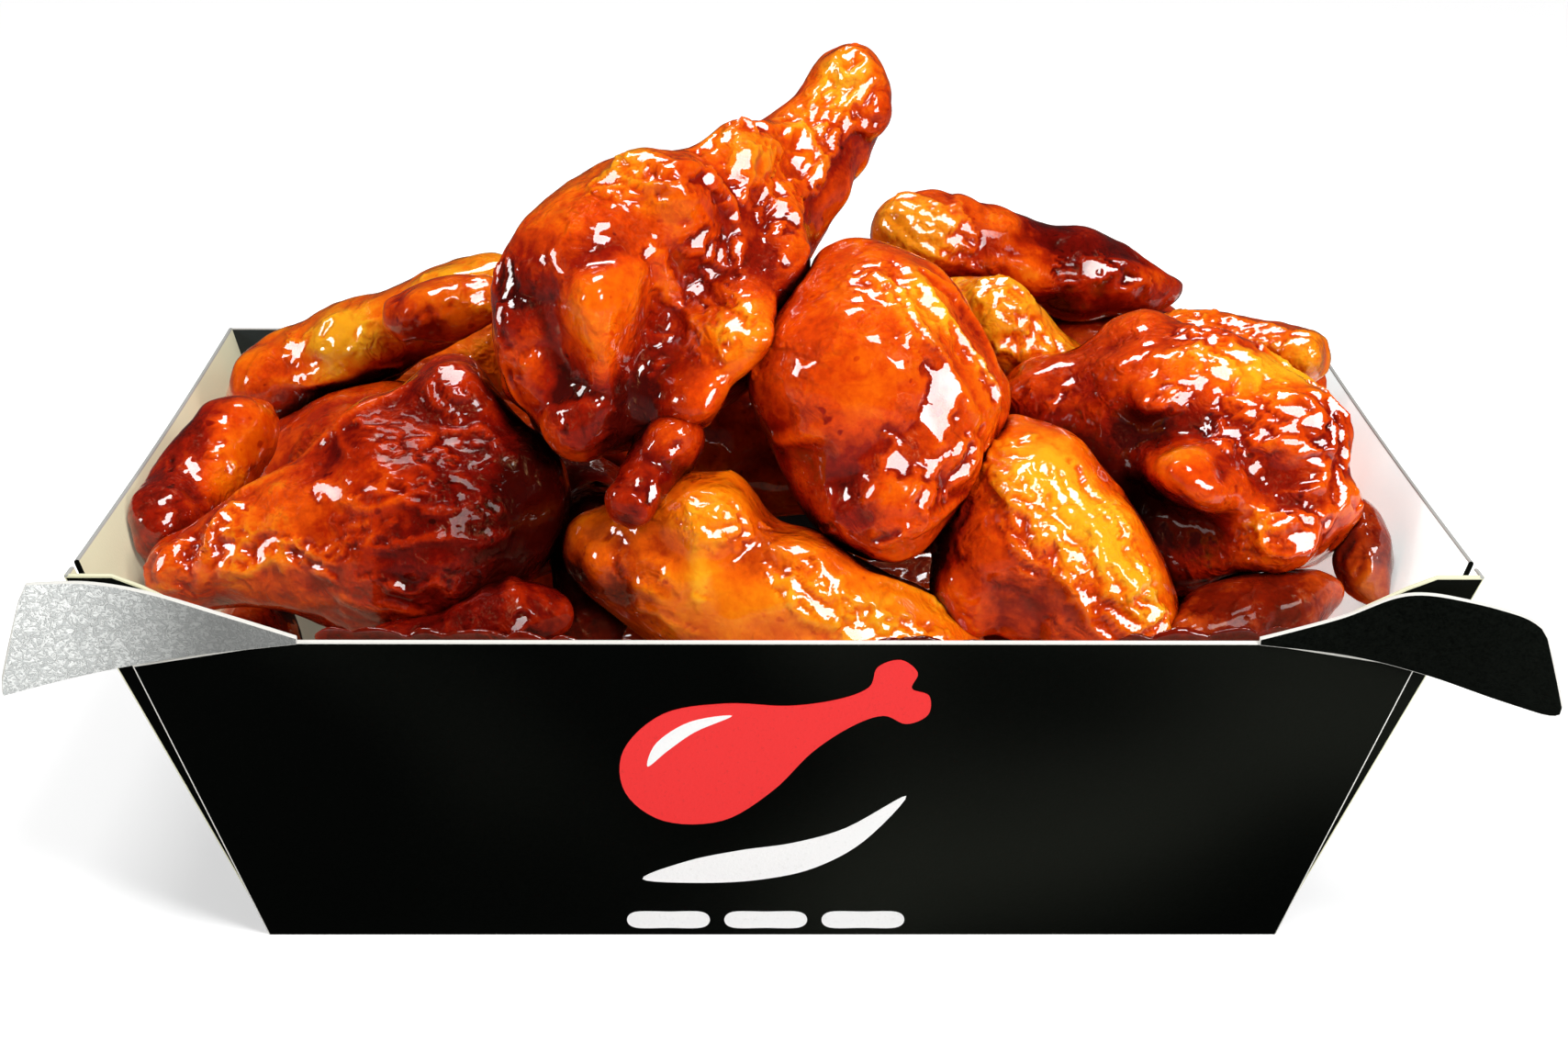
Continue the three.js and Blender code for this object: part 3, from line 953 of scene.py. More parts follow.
LAMPS: tuple[Lamp, ...] = (
    Lamp("window", (0.42, -0.56, 0.40), (0.20, 0.24), 2.5),
    Lamp("high", (0.22, -0.42, 0.72), (0.14, 0.14), 1.1),
    Lamp("top", (-0.08, 0.22, 0.84), (0.26, 0.15), 2.0),
    Lamp("left", (-0.74, -0.26, 0.40), (0.14, 0.20), 1.3),
)


@dataclass(frozen=True)
class Sun:
    """A far light that falls evenly on everything and isn't mirrored in the glaze."""

    name: str
    power: float
    breadth: float  # degrees
    around: float  # degrees, right of the viewer
    above: float  # degrees

    def build(self) -> None:
        """Hangs the sun."""
        light = bpy.data.lights.new(self.name, "SUN")
        light.energy = self.power
        light.angle = math.radians(self.breadth)
        sun = add_object(self.name, light)
        sun.visible_glossy = False
        side, height = math.radians(self.around), math.radians(self.above)
        level = math.cos(height)
        towards = Vector((math.sin(side) * level, -math.cos(side) * level, math.sin(height)))
        sun.rotation_euler = towards.to_track_quat("Z", "Y").to_euler()


SUNS: tuple[Sun, ...] = (
    Sun("key", power=1.15, breadth=20, around=40, above=48),
    Sun("overhead", power=0.5, breadth=70, around=0, above=90),
    Sun("side", power=0.6, breadth=40, around=-80, above=32),
)


def glints(spots: Array) -> Array:
    """The ways skin at some spots can face to throw each lamp's light at the viewer."""
    return np.stack([lamp.glint(spots) for lamp in LAMPS], axis=-2)


# ---- the wings ----


class Detail(Enum):
    """How finely a wing is sculpted: grain of its mesh in metres, its folds and its gleams."""

    HERO = (0.00055, 16, 260)
    NEAR = (0.0008, 12, 120)
    FAR = (0.0012, 5, 0)
    BURIED = (0.002, 0, 0)

    @property
    def voxel(self) -> float:
        """Size of the mesh's faces."""
        return self.value[0]

    @property
    def folds(self) -> int:
        """How many loose folds of skin are laid over it."""
        return self.value[1]

    @property
    def gleams(self) -> int:
        """How many wet facets are tried all over it."""
        return self.value[2]


Path = tuple[tuple[float, float], ...]


@dataclass(frozen=True)
class Lump:
    """A soft lobe of meat, or a dent where its height is below zero."""

    across: float  # per cent across the wing's face
    up: float  # per cent up it
    radius: float  # mm
    height: float  # mm
    ring: float = 0.0  # mm, depth of the crease round it


@dataclass(frozen=True)
class Tint:
    """A patch of thinner or thicker glaze, some of the darker ones painted shade and some of the lighter ones
    painted highlight, or of duller glaze.
    """

    across: float  # per cent across the wing's face
    up: float  # per cent up it
    radius: float  # mm
    amount: float


@dataclass(frozen=True)
class Stroke:
    """A ridge, or a crease where its height is below zero."""

    width: float  # mm
    height: float  # mm
    path: Path  # places it passes, in per cent across and up the face


@dataclass(frozen=True)
class Flat:
    """A wet flat of skin turned to catch the light."""

    width: float  # mm
    path: Path


@dataclass(frozen=True)
class Sparkle:
    """A band of small wet facets that catch the light."""

    width: float  # mm
    count: int
    size: float  # mm
    path: Path


def lumps(*rows: tuple) -> tuple[Lump, ...]:
    """Lobes from rows of across, up, radius, height and, for some, the depth of the crease round them."""
    return tuple(Lump(*row) for row in rows)


def tints(*rows: tuple) -> tuple[Tint, ...]:
    """Patches from rows of across, up, radius and amount."""
    return tuple(Tint(*row) for row in rows)


def strokes(*rows: tuple) -> tuple[Stroke, ...]:
    """Ridges and creases from rows of width, height and the places passed."""
    return tuple(Stroke(width, height, tuple(path)) for width, height, *path in rows)


def flats(*rows: tuple) -> tuple[Flat, ...]:
    """Flats from rows of width and the places passed."""
    return tuple(Flat(width, tuple(path)) for width, *path in rows)


def sparkles(*rows: tuple) -> tuple[Sparkle, ...]:
    """Bands of facets from rows of width, count, size and the places passed."""
    return tuple(Sparkle(width, count, size, tuple(path)) for width, count, size, *path in rows)


class Crowd:
    """How full of meat the space round any place is, which sets the painted shade in the gaps."""

    STEP = 0.0025  # size of a cell
    LOW = np.array((-0.125, -0.095, -0.012))  # lowest corner of the block of cells
    SIZE = np.array((0.25, 0.19, 0.155))
    NEAR_BLUR, WIDE_BLUR = 1.1, 2.6  # how far the close and the wide look reach, in cells
    BLUR_END = 2.5  # past how many reaches a cell no longer counts
    NEAR_OUT, WIDE_OUT = 0.004, 0.010  # how far off the skin each is taken
    OPEN = 0.3  # how full the space is beside a wing that lies alone
    NEAR_SPAN, WIDE_SPAN = 0.6, 0.5  # how much fuller it is deep in a gap

    def __init__(self, nodes: Sequence[str]) -> None:
        """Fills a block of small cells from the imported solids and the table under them.

        Args:
            nodes: names of the solids that count as meat.
        """
        filled = np.zeros(np.ceil(self.SIZE / self.STEP).astype(int))
        for node in nodes:
            self._fill(filled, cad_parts[node].data)
        filled[:, :, : int(-self.LOW[2] / self.STEP)] = 1
        self.near = self._blurred(filled, self.NEAR_BLUR)
        self.wide = self._blurred(filled, self.WIDE_BLUR)

    def _fill(self, filled: Array, mesh: bpy.types.Mesh) -> None:
        """Marks the cells inside one solid, column by column.

        Args:
            filled: the block.
            mesh: the solid.
        """
        points = [vertex.co for vertex in mesh.vertices]
        tree = BVHTree.FromPolygons(points, [face.vertices for face in mesh.polygons])
        corners = np.array([tuple(point) for point in points])
        first = ((corners.min(0) - self.LOW) / self.STEP).astype(int)
        last = ((corners.max(0) - self.LOW) / self.STEP).astype(int) + 1
        for i in range(first[0], last[0] + 1):
            for j in range(first[1], last[1] + 1):
                x, y = self.LOW[0] + i * self.STEP, self.LOW[1] + j * self.STEP
                top = tree.ray_cast(Vector((x, y, 1)), Vector((0, 0, -1)))[0]
                bottom = tree.ray_cast(Vector((x, y, -1)), Vector((0, 0, 1)))[0]
                if top is None or bottom is None:
                    continue
                start, end = (int(round((spot.z - self.LOW[2]) / self.STEP)) for spot in (bottom, top))
                filled[i, j, start: end + 1] = 1

    def _blurred(self, filled: Array, reach: float) -> Array:
        """Evens the block along its three axes.

        Args:
            filled: the block.
            reach: how far, in cells.

        Returns:
            The evened block.
        """
        span = int(math.ceil(reach * self.BLUR_END))
        weights = np.exp(-0.5 * (np.arange(-span, span + 1) / reach) ** 2)
        weights /= weights.sum()
        for axis in range(3):
            filled = np.apply_along_axis(lambda line: np.convolve(line, weights, "same"), axis, filled)
        return filled

    def _at(self, block: Array, points: Array) -> Array:
        """Reads a block at some points, between its cells.

        Args:
            block: the block.
            points: the points.

        Returns:
            One value per point.
        """
        place = np.clip((points - self.LOW) / self.STEP, 0, np.array(block.shape) - 1.001)
        base = place.astype(int)
        part = place - base
        total = np.zeros(len(points))
        for corner in np.ndindex(2, 2, 2):
            weight = np.prod(np.where(corner, part, 1 - part), axis=1)
            total += weight * block[tuple((base + corner).T)]
        return total

    def shade(self, points: Array, normals: Array) -> Array:
        """How closed in the skin is.

        Args:
            points: places on it.
            normals: the way it faces there.

        Returns:
            A value per point, from 0 in the open to 1 deep in a gap.
        """
        near = self._at(self.near, points + normals * self.NEAR_OUT)
        wide = self._at(self.wide, points + normals * self.WIDE_OUT)
        near = np.clip((near - self.OPEN) / self.NEAR_SPAN, 0, 1)
        wide = np.clip((wide - self.OPEN) / self.WIDE_SPAN, 0, 1)
        return (near + wide) * 0.5


@dataclass
class Wing:
    """One glazed piece of chicken, sculpted from its node."""

    START_VOXEL = 0.0016  # mesh on which the node's facets are rounded off
    PLUMPING = 0.0004  # gives back what the rounding takes
    EVENING = (10, 2)  # how far the finest mesh is evened, and what every mesh gets besides
    MISS_COST = 4  # what a place costs by how far off it is
    DEPTH_GAIN = 0.9  # and gains by how near the viewer it is
    REACH = 0.004  # how far off it may be at all
    FLAT_BREADTH = 1.25  # how much broader flats are made, for their ragged edge
    FACET_SEED = 500
    GLEAM_SIZE = 0.0011
    FOLD_STEPS = (3, 6)
    FOLD_TURN = 0.7
    FOLD_WIDTHS = (0.0009, 0.0022)
    FOLD_HEIGHTS = (0.45, 0.6, -0.5, -0.7)  # mm
    WALK_STEP = 0.003  # length of a step along a fold
    CRUST = (
        ("broad swell", 0.014, 1.8), ("crust", 0.0056, 1.0), ("blisters", 0.0026, 0.4),
    )  # each layer's grain in metres and height in mm
    FINE_CRUST = 0.01  # grain below which a layer follows the wing's roughness
    FACES_PER_GRAIN = 3  # a layer with a finer grain is left out
    FINE_ROUNDS = (10, 2)  # how broad the small hollows are on the finest mesh and at least
    BROAD_ROUNDS = (90, 6)  # and the large ones
    SHADE_ROUNDS = 3  # how far the shade is evened
    FINE_TONE = (0.7, -0.07, 0.09)  # tone lost per mm of hollow, least and most
    BROAD_TONE = (0.22, -0.08, 0.1)
    # darker patches are partly pooled glaze and partly painted shade
    DARK_PATCH_SHARE = 0.75  # how strongly darker patches show
    # painted shade: how far the tone drops where the skin is closed in
    GAP_SHADE_TONE = 0.55  # tone lost deep in a gap
    DULL_REACH = 1.6  # where a dull patch ends, in radii

    node: str
    glaze: Glaze
    detail: Detail
    seed: int
    # for some wings the tone is also painted light or painted shade, as marked where they are listed
    tone: float = 0.5  # how thin the glaze is
    rough: float = 1.0  # how strongly folds and crust show
    even: int = 10  # how far the node's facets are rounded off
    wet: float = 0.4  # share of its detail's gleams that it gets
    lumps: tuple[Lump, ...] = ()
    strokes: tuple[Stroke, ...] = ()
    flats: tuple[Flat, ...] = ()
    sparkles: tuple[Sparkle, ...] = ()
    tints: tuple[Tint, ...] = ()
    dulls: tuple[Tint, ...] = ()  # where the glaze is thin and shines less
    window: tuple[float, float, float, float] = (0.0, 1.0, 0.0, 1.0)  # part of the face laid out
    slot: str = ""  # the record's slot, where it isn't the glaze's name

    def build(self, crowd: Crowd, tray: "Tray") -> Piece:
        """Sculpts and dresses the wing.

        Args:
            crowd: tells how closed in each place is.
            tray: holds the wing in.

        Returns:
            The finished piece.
        """
        piece = copy_of_node(self.node, self.node + "_meat")
        self._round_off(piece)
        apply_modifier(piece, "REMESH", mode="VOXEL", voxel_size=self.detail.voxel)
        skin = Skin(piece)
        finest, least = self.EVENING
        skin.even_out(int(finest * Detail.HERO.voxel / self.detail.voxel) + least)
        self._add_lumps(skin)
        self._add_strokes(skin)
        self._add_folds(skin)
        self._add_crust(piece)
        self._add_flats(Skin(piece))
        tray.contain(Skin(piece))
        self._paint(Skin(piece), crowd)
        self.glaze.hand_over(piece, self.node, slot=self.slot)
        return piece

    def _round_off(self, piece: Piece) -> None:
        """Turns the node's flat facets into one soft skin.

        Args:
            piece: the copy of the node.
        """
        start = max(self.START_VOXEL, self.detail.voxel)
        apply_modifier(piece, "REMESH", mode="VOXEL", voxel_size=start)
        Skin(piece).even_out(self.even)
        apply_modifier(piece, "DISPLACE", strength=self.PLUMPING, mid_level=0.0)

    def _face_places(self, skin: Skin) -> Array:
        """Each point's share across and up the wing's face.

        Args:
            skin: the wing's points.

        Returns:
            One row per point, from 0 to 1 over the part laid out.
        """
        flat = np.stack((skin.points @ ACROSS, skin.points @ UP), axis=1)
        low, high = flat.min(0), flat.max(0)
        left, right, bottom, top = self.window
        shares = (flat - low) / (high - low)
        return (shares - (left, bottom)) / (right - left, top - bottom)

    def _on_face(self, skin: Skin, places: Array, across: float, up: float) -> int:
        """Finds the foremost point at a place on the face.

        Args:
            skin: the wing's points.
            places: each point's share across and up.
            across: per cent across that is looked for.
            up: per cent up that is looked for.

        Returns:
            The point's index.
        """
        span = np.ptp(skin.points, axis=0).max()
        miss = np.linalg.norm(places - (across / 100, up / 100), axis=1) * span
        depth = skin.points @ TOWARDS
        return int(np.argmin(miss * self.MISS_COST - depth * self.DEPTH_GAIN + (miss > self.REACH)))

    def _path(self, skin: Skin, places: Array, path: Path) -> Array:
        """The points on the skin that a path over the face passes."""
        return np.array([skin.points[self._on_face(skin, places, *spot)] for spot in path])

    def _add_lumps(self, skin: Skin) -> None:
        """Raises the lobes of meat.

        Args:
            skin: the wing's points.
        """
        places = self._face_places(skin)
        for lump in self.lumps:
            index = self._on_face(skin, places, lump.across, lump.up)
            skin.swell(index, lump.radius * MM, lump.height * MM, lump.ring * MM)
        skin.write()

    def _add_strokes(self, skin: Skin) -> None:
        """Raises the ridges and presses the creases that the wing is known by.

        Args:
            skin: the wing's points.
        """
        places = self._face_places(skin)
        for stroke in self.strokes:
            path = self._path(skin, places, stroke.path)
            skin.raise_along(path, stroke.width * MM, stroke.height * MM)
        skin.write()

    def _add_flats(self, skin: Skin) -> None:
        """Turns the wet flats and facets to the light.

        Args:
            skin: the wing's points.
        """
        dice = random.Random(self.seed + self.FACET_SEED)
        places = self._face_places(skin)
        for flat in self.flats:
            skin.flatten_along(self._path(skin, places, flat.path), flat.width * self.FLAT_BREADTH * MM)
        skin.write()
        for sparkle in self.sparkles:
            path = self._path(skin, places, sparkle.path)
            near = np.flatnonzero(skin.distance_to(path)[0] < sparkle.width * MM)
            skin.facet(near, sparkle.count, sparkle.size * MM, unit(path[-1] - path[0]), dice)
        gleams = int(self.detail.gleams * self.wet)
        if gleams:
            skin.facet(np.arange(skin.count), gleams, self.GLEAM_SIZE, unit(GLEAM_WAY), dice)
        skin.write()

    def _add_folds(self, skin: Skin) -> None:
        """Lays loose folds and small creases of skin over every side of the wing.

        Args:
            skin: the wing's points.
        """
        dice = random.Random(self.seed)
        for _ in range(self.detail.folds):
            path = self._wander(skin, dice)
            width = dice.uniform(*self.FOLD_WIDTHS)
            height = dice.choice(self.FOLD_HEIGHTS) * MM * self.rough
            skin.raise_along(path, width, height)
        skin.write()

    def _wander(self, skin: Skin, dice: random.Random) -> Array:
        """Walks over the skin in small turning steps.

        Args:
            skin: the wing's points.
            dice: gives the start and the turns.

        Returns:
            The points passed.
        """
        index = dice.randrange(skin.count)
        heading = np.array([dice.uniform(-1, 1) for _ in range(3)])
        path = [skin.points[index]]
        for _ in range(dice.randint(*self.FOLD_STEPS)):
            normal = skin.normals[index]
            heading -= normal * (heading @ normal)
            heading /= max(np.linalg.norm(heading), 1e-9)
            turn = np.cross(normal, heading) * dice.uniform(-self.FOLD_TURN, self.FOLD_TURN)
            target = path[-1] + (heading + turn) * self.WALK_STEP
            index = int(np.argmin(np.linalg.norm(skin.points - target, axis=1)))
            heading = heading + turn
            path.append(skin.points[index])
        return np.array(path)

    def _add_crust(self, piece: Piece) -> None:
        """Gives the skin its broad unevenness and its crisp grain.

        Args:
            piece: the wing.
        """
        for name, size, strength in self.CRUST:
            if size < self.detail.voxel * self.FACES_PER_GRAIN:
                continue
            reach = strength * MM * (self.rough if size < self.FINE_CRUST else 1)
            apply_modifier(piece, "DISPLACE", texture=grain_texture(name, size), texture_coords="LOCAL",
                           strength=reach, mid_level=0.5)

    def _away(self, skin: Skin, places: Array, patch: Tint) -> Array:
        """How far each point is from a patch's middle, in radii of the patch."""
        centre = skin.points[self._on_face(skin, places, patch.across, patch.up)]
        return np.linalg.norm(skin.points - centre, axis=1) / (patch.radius * MM)

    def _paint(self, skin: Skin, crowd: Crowd) -> None:
        """Stores how thin the glaze is, dark where it pools and gold on the crests, with painted shade deep
        in the gaps.

        Args:
            skin: the wing's points.
            crowd: tells how closed in each place is.
        """
        places = self._face_places(skin)
        scale = Detail.HERO.voxel / self.detail.voxel
        fine, broad = (
            skin.hollow(max(least, int(finest * scale))) / MM
            for finest, least in (self.FINE_ROUNDS, self.BROAD_ROUNDS)
        )
        tone = np.full(skin.count, self.tone)
        for hollow, (rate, least, most) in (
            (fine, self.FINE_TONE), (broad - np.median(broad), self.BROAD_TONE),
        ):
            tone -= np.clip(hollow * rate, least, most)
        for tint in self.tints:
            strength = tint.amount * (1.0 if tint.amount > 0 else self.DARK_PATCH_SHARE)
            tone += strength * np.exp(-self._away(skin, places, tint) ** 2)
        shade = crowd.shade(skin.points, skin.normals)[:, None]
        shade = skin.relaxed(shade, self.SHADE_ROUNDS)[:, 0]
        dull = np.zeros(skin.count)
        for patch in self.dulls:
            share = np.clip(self.DULL_REACH - self._away(skin, places, patch), 0, 1)
            dull = np.maximum(dull, patch.amount * share)
        # painted shade: the tone is lowered where other wings close the skin in
        skin.store("tone", tone - self.GAP_SHADE_TONE * shade)
        skin.store("shade", shade)
        skin.store("dull", dull)


# the darker tints low on its left are painted shade, and the light tints up its shaft are partly painted
# highlight
TOP_DRUMETTE = Wing(
    "top_drumette", ORANGE, Detail.HERO, 1, tone=0.4, rough=0.55, even=12,
    sparkles=sparkles(
        (6, 36, 2.9, (48, 62), (60, 70), (74, 74)), (4, 34, 3.4, (70, 56), (78, 70), (88, 90)),
        (4, 30, 2.2, (84, 80), (88, 90), (93, 97)), (5, 50, 1.8, (63, 22), (56, 34), (52, 48)),
        (4, 30, 1.5, (3, 40), (3, 20)), (4, 25, 1.8, (26, 62), (40, 62)),
    ),
    lumps=lumps(
        (88.5, 94.5, 2.2, -1.8), (28, 28, 10.5, 1.1), (14, 48, 9, 1.4), (40, 60, 11, 1.4), (47, 60, 5, 0.9),
        (6, 27, 6, 1.4), (12, 18, 4.5, 1.2, 0.2), (22, 6, 7, 1.8), (50, 14, 7, 1.0), (61, 28, 6.5, 1.6),
        (87, 93, 5, 1.0), (96, 82, 4, 1.5, 0.2), (82, 86, 3.5, 0.6),
    ),
    strokes=strokes(
        (2.8, -1.2, (12, 39), (20, 42), (28, 46), (38, 50)),
        (1.8, -0.6, (16, 40), (16, 31), (18, 22), (23, 14)), (2.2, -0.5, (40, 26), (42, 20), (42, 12)),
        (1.5, 1.0, (39, 47), (42, 40), (47, 35), (53, 30), (58, 22)),
        (1.5, 1.2, (44, 64), (52, 63), (58, 58), (61, 50), (60, 44)),
        (1.5, 1.2, (61, 80), (62, 72), (60.5, 62), (63, 54)), (1.2, -0.9, (65.5, 80), (66, 72), (65, 64)),
        (1.1, 0.8, (67, 78), (72, 76), (77, 78)), (1.1, 0.8, (69, 74), (73, 70), (78, 72)),
        (2.2, 0.9, (84, 80), (79, 70), (73, 60), (70, 52)), (1.0, 0.7, (52, 46), (57, 45), (61, 50)),
        (1.2, 0.8, (2, 38), (5, 30), (4, 20), (8, 12)), (1.0, 0.5, (12, 14), (17, 11), (24, 12), (32, 11)),
        (1.3, -0.8, (80, 93), (85, 87), (92, 87)), (0.9, 0.6, (49, 33), (50, 26), (55, 20)),
    ),
    flats=flats(
        (1.9, (64, 77), (62, 70), (61, 61)), (3.4, (82, 75), (77, 67), (72, 58)), (1.5, (67, 79), (72, 77)),
        (1.5, (68, 72), (74, 71)), (1.7, (47, 64), (54, 62), (59, 56)), (2.2, (52, 49), (56, 46), (60, 47)),
        (1.6, (47.5, 51), (48, 48)), (2.1, (40, 45), (43, 40), (46, 36)), (1.6, (26, 61), (30, 60)),
        (1.6, (41, 67), (40, 61)), (2.2, (57, 32), (60, 29), (57, 25)), (1.3, (51, 30), (53, 25)),
        (1.5, (89, 94), (90, 91)), (1.7, (90, 88), (92, 85)), (1.7, (85, 80), (95, 79)),
        (1.6, (73, 46), (78, 49)), (1.3, (3, 33), (4, 26)), (1.2, (5, 24), (7, 18)),
        (1.2, (38, 27.5), (44, 27)), (1.2, (30, 69), (31, 66)),
    ),
    tints=tints(
        (29, 30, 9, 0.16), (40, 57, 6, 0.32), (57, 70, 6, 0.3), (30, 68, 5, 0.25), (60, 30, 6, 0.38),
        (86, 91, 5, 0.42), (76, 80, 5, 0.45), (90, 87, 5, 0.4), (70, 68, 5, 0.35), (80, 70, 4, 0.25),
        (10, 23, 3, 0.15), (14, 56, 7, 0.2), (5, 42, 5, -0.25), (14, 18, 6, -0.28), (24, 64, 6, 0.15),
        (13, 38, 6, -0.22), (30, 47, 5, -0.2), (42, 22, 5, -0.12), (40, 38, 5, 0.15), (25, 6, 7, -0.42),
        (45, 60, 4, -0.2), (96, 84, 4, -0.32), (4, 30, 5, -0.42), (45, 10, 6, -0.25), (33, 10, 6, -0.42),
        (65, 42, 5, -0.15), (86, 72, 5, -0.15), (28, 57, 4, -0.1),
    ),
)
CENTRE_THIGH = Wing(
    "centre_thigh", ORANGE, Detail.HERO, 2, tone=0.44, rough=0.3, even=12, wet=0.15,
    window=(-0.05, 1.01, 0.0, 1.0),
    sparkles=sparkles(
        (5, 110, 1.9, (50, 88), (70, 74), (86, 58), (93, 42)), (4, 20, 1.8, (84, 32), (70, 20)),
        (3, 20, 1.5, (10, 80), (6, 60)),
    ),
    lumps=lumps(
        (80, 40, 9, 1.0), (55, 20, 8, 1.2, 0.2), (35, 12, 6, 1.0), (80, 30, 5, 0.8, 0.2), (35, 55, 14, 0.8),
    ),
    strokes=strokes(
        (1.4, 0.9, (48, 86), (56, 78), (62, 68), (70, 62)),
        (1.2, 0.9, (60, 90), (68, 80), (78, 70), (88, 56), (92, 48)),
        (1.0, 0.8, (68, 92), (78, 82), (88, 70), (95, 56)), (0.9, -0.6, (64, 86), (73, 75), (83, 63)),
        (0.8, -0.5, (56, 86), (62, 78), (70, 69)), (0.8, 0.5, (77, 56), (81, 48), (85, 42)),
        (0.9, -0.6, (72, 58), (73, 50), (76, 42)), (1.3, 0.6, (10, 36), (20, 37.5), (32, 40)),
        (1.8, -0.9, (12, 31), (24, 33), (36, 34)), (1.1, -0.7, (50, 41), (55, 38), (57, 31), (60, 24)),
        (1.0, 0.6, (55, 22), (62, 24), (70, 23)),
        (1.0, 0.7, (50, 9), (60, 11), (70, 14), (80, 22), (90, 30)),
        (2.4, -0.9, (42, 30), (42, 20), (45, 10)),
    ),
    flats=flats(
        (3.4, (71.5, 56), (71.5, 47), (67, 40), (58, 32)), (1.4, (50, 86), (55, 82)),
        (1.5, (57, 82), (62, 74), (68, 66)), (1.5, (65, 84), (72, 75)), (1.3, (61, 67), (67, 62), (73, 60)),
        (1.7, (82, 66), (88, 60), (93, 52)), (1.5, (68, 88), (78, 80)), (1.9, (80, 27), (84, 32)),
        (1.4, (87, 39), (89, 36)), (1.1, (61, 22), (66, 22)), (1.2, (40, 83), (42, 79)),
        (1.0, (52, 39), (56, 36)), (1.1, (30, 8), (34, 10)), (1.4, (50, 6), (58, 8)),
    ),
    tints=tints(
        (62, 80, 6, 0.36), (75, 75, 5, 0.36), (88, 60, 4, 0.25), (35, 85, 6, 0.12), (45, 50, 6, 0.1),
        (30, 16, 8, -0.22), (10, 40, 6, -0.2), (45, 12, 7, -0.16), (50, 87, 3, -0.2), (36, 34, 6, -0.12),
        (13, 75, 5, -0.12), (20, 60, 6, -0.06),
    ),
)
RIGHT_CLUSTER = Wing(
    "right_cluster", ORANGE, Detail.HERO, 3, tone=0.38, rough=0.6, even=12, wet=0.25,
    window=(0.19, 1.0, 0.1, 1.0),
    sparkles=sparkles(
        (6, 90, 1.8, (50, 88), (70, 80), (90, 66)), (5, 45, 2.4, (55, 53), (70, 57), (85, 49)),
        (5, 60, 2.2, (62, 12), (80, 12)), (5, 35, 2.0, (95, 62), (95, 30)),
        (3, 15, 1.5, (28, 62), (36, 66)),
    ),
    lumps=lumps(
        (27, 74, 9, 1.2), (50, 88, 6, 1.0), (72, 78, 7, 1.2), (73, 48, 8, 1.6, 0.3), (93, 52, 5, 1.2),
        (36, 40, 5.5, 1.4, 0.2), (50, 25, 7, 1.2), (72, 10, 6.5, 1.6, 0.3), (95, 25, 5, 1.2),
        (28, 62, 4.5, 0.9),
    ),
    strokes=strokes(
        (2.0, -1.9, (12, 54), (22, 54), (32, 52), (42, 54), (52, 57)),
        (1.4, 1.0, (22, 60), (30, 63), (38, 68)), (1.2, -0.9, (30, 45), (28, 38), (32, 30), (40, 20)),
        (1.2, -1.2, (62, 26), (70, 24), (78, 24), (85, 28), (88, 36), (88, 45)),
        (1.0, 0.7, (66, 30), (75, 29), (83, 32), (86, 39)),
        (1.6, -0.8, (52, 47), (50, 35), (53, 20), (57, 8)),
        (1.3, 1.1, (54, 60), (62, 64), (70, 65), (80, 60), (88, 52)),
        (1.3, -0.8, (52, 68), (60, 68), (66, 70)), (1.3, -0.8, (80, 64), (88, 58), (94, 46), (93, 34)),
        (1.0, 0.7, (60, 8), (61, 20), (70, 21), (82, 20), (90, 24)),
        (1.1, 0.6, (43, 96), (46, 86), (48, 76)), (1.0, -0.6, (55, 86), (62, 85), (70, 84)),
    ),
    flats=flats(
        (3.0, (55, 53), (63, 54), (71, 57), (79, 54), (85, 49)), (2.3, (60, 80), (62, 72), (60, 65)),
        (1.8, (70, 85), (80, 79), (90, 71)), (2.1, (87, 62), (92, 58)), (1.7, (93, 48), (92, 40)),
        (1.4, (49, 90), (50, 84), (53, 80)), (1.4, (49, 75), (53, 72)), (1.2, (26, 61), (32, 64), (37, 67)),
        (1.3, (33, 37), (36, 38)), (1.2, (41, 32), (43, 31)), (1.2, (60, 36), (62, 39)),
        (2.5, (64, 10), (70, 9), (76, 11)), (1.3, (62, 22), (70, 17)), (1.5, (78, 15), (85, 17)),
        (1.6, (95, 28), (97, 25)), (1.2, (37, 88), (38, 85)), (1.7, (40, 80), (42, 76)),
        (1.1, (74, 68), (68, 66)),
    ),
    tints=tints(
        (57, 76, 5, 0.3), (68, 72, 6, 0.4), (78, 76, 5, 0.35), (40, 45, 4, 0.28), (60, 18, 4, 0.3),
        (41, 81, 4, 0.25), (85, 82, 4, 0.3), (32, 42, 3, 0.2), (97, 30, 4, 0.15), (25, 53, 5, -0.35),
        (44, 55, 4, -0.08), (86, 48, 3, -0.25), (15, 35, 8, -0.25), (60, 87, 4, -0.2), (75, 27, 4, -0.15),
        (28, 25, 6, -0.25), (45, 8, 5, -0.3), (30, 75, 5, 0.05),
    ),
)
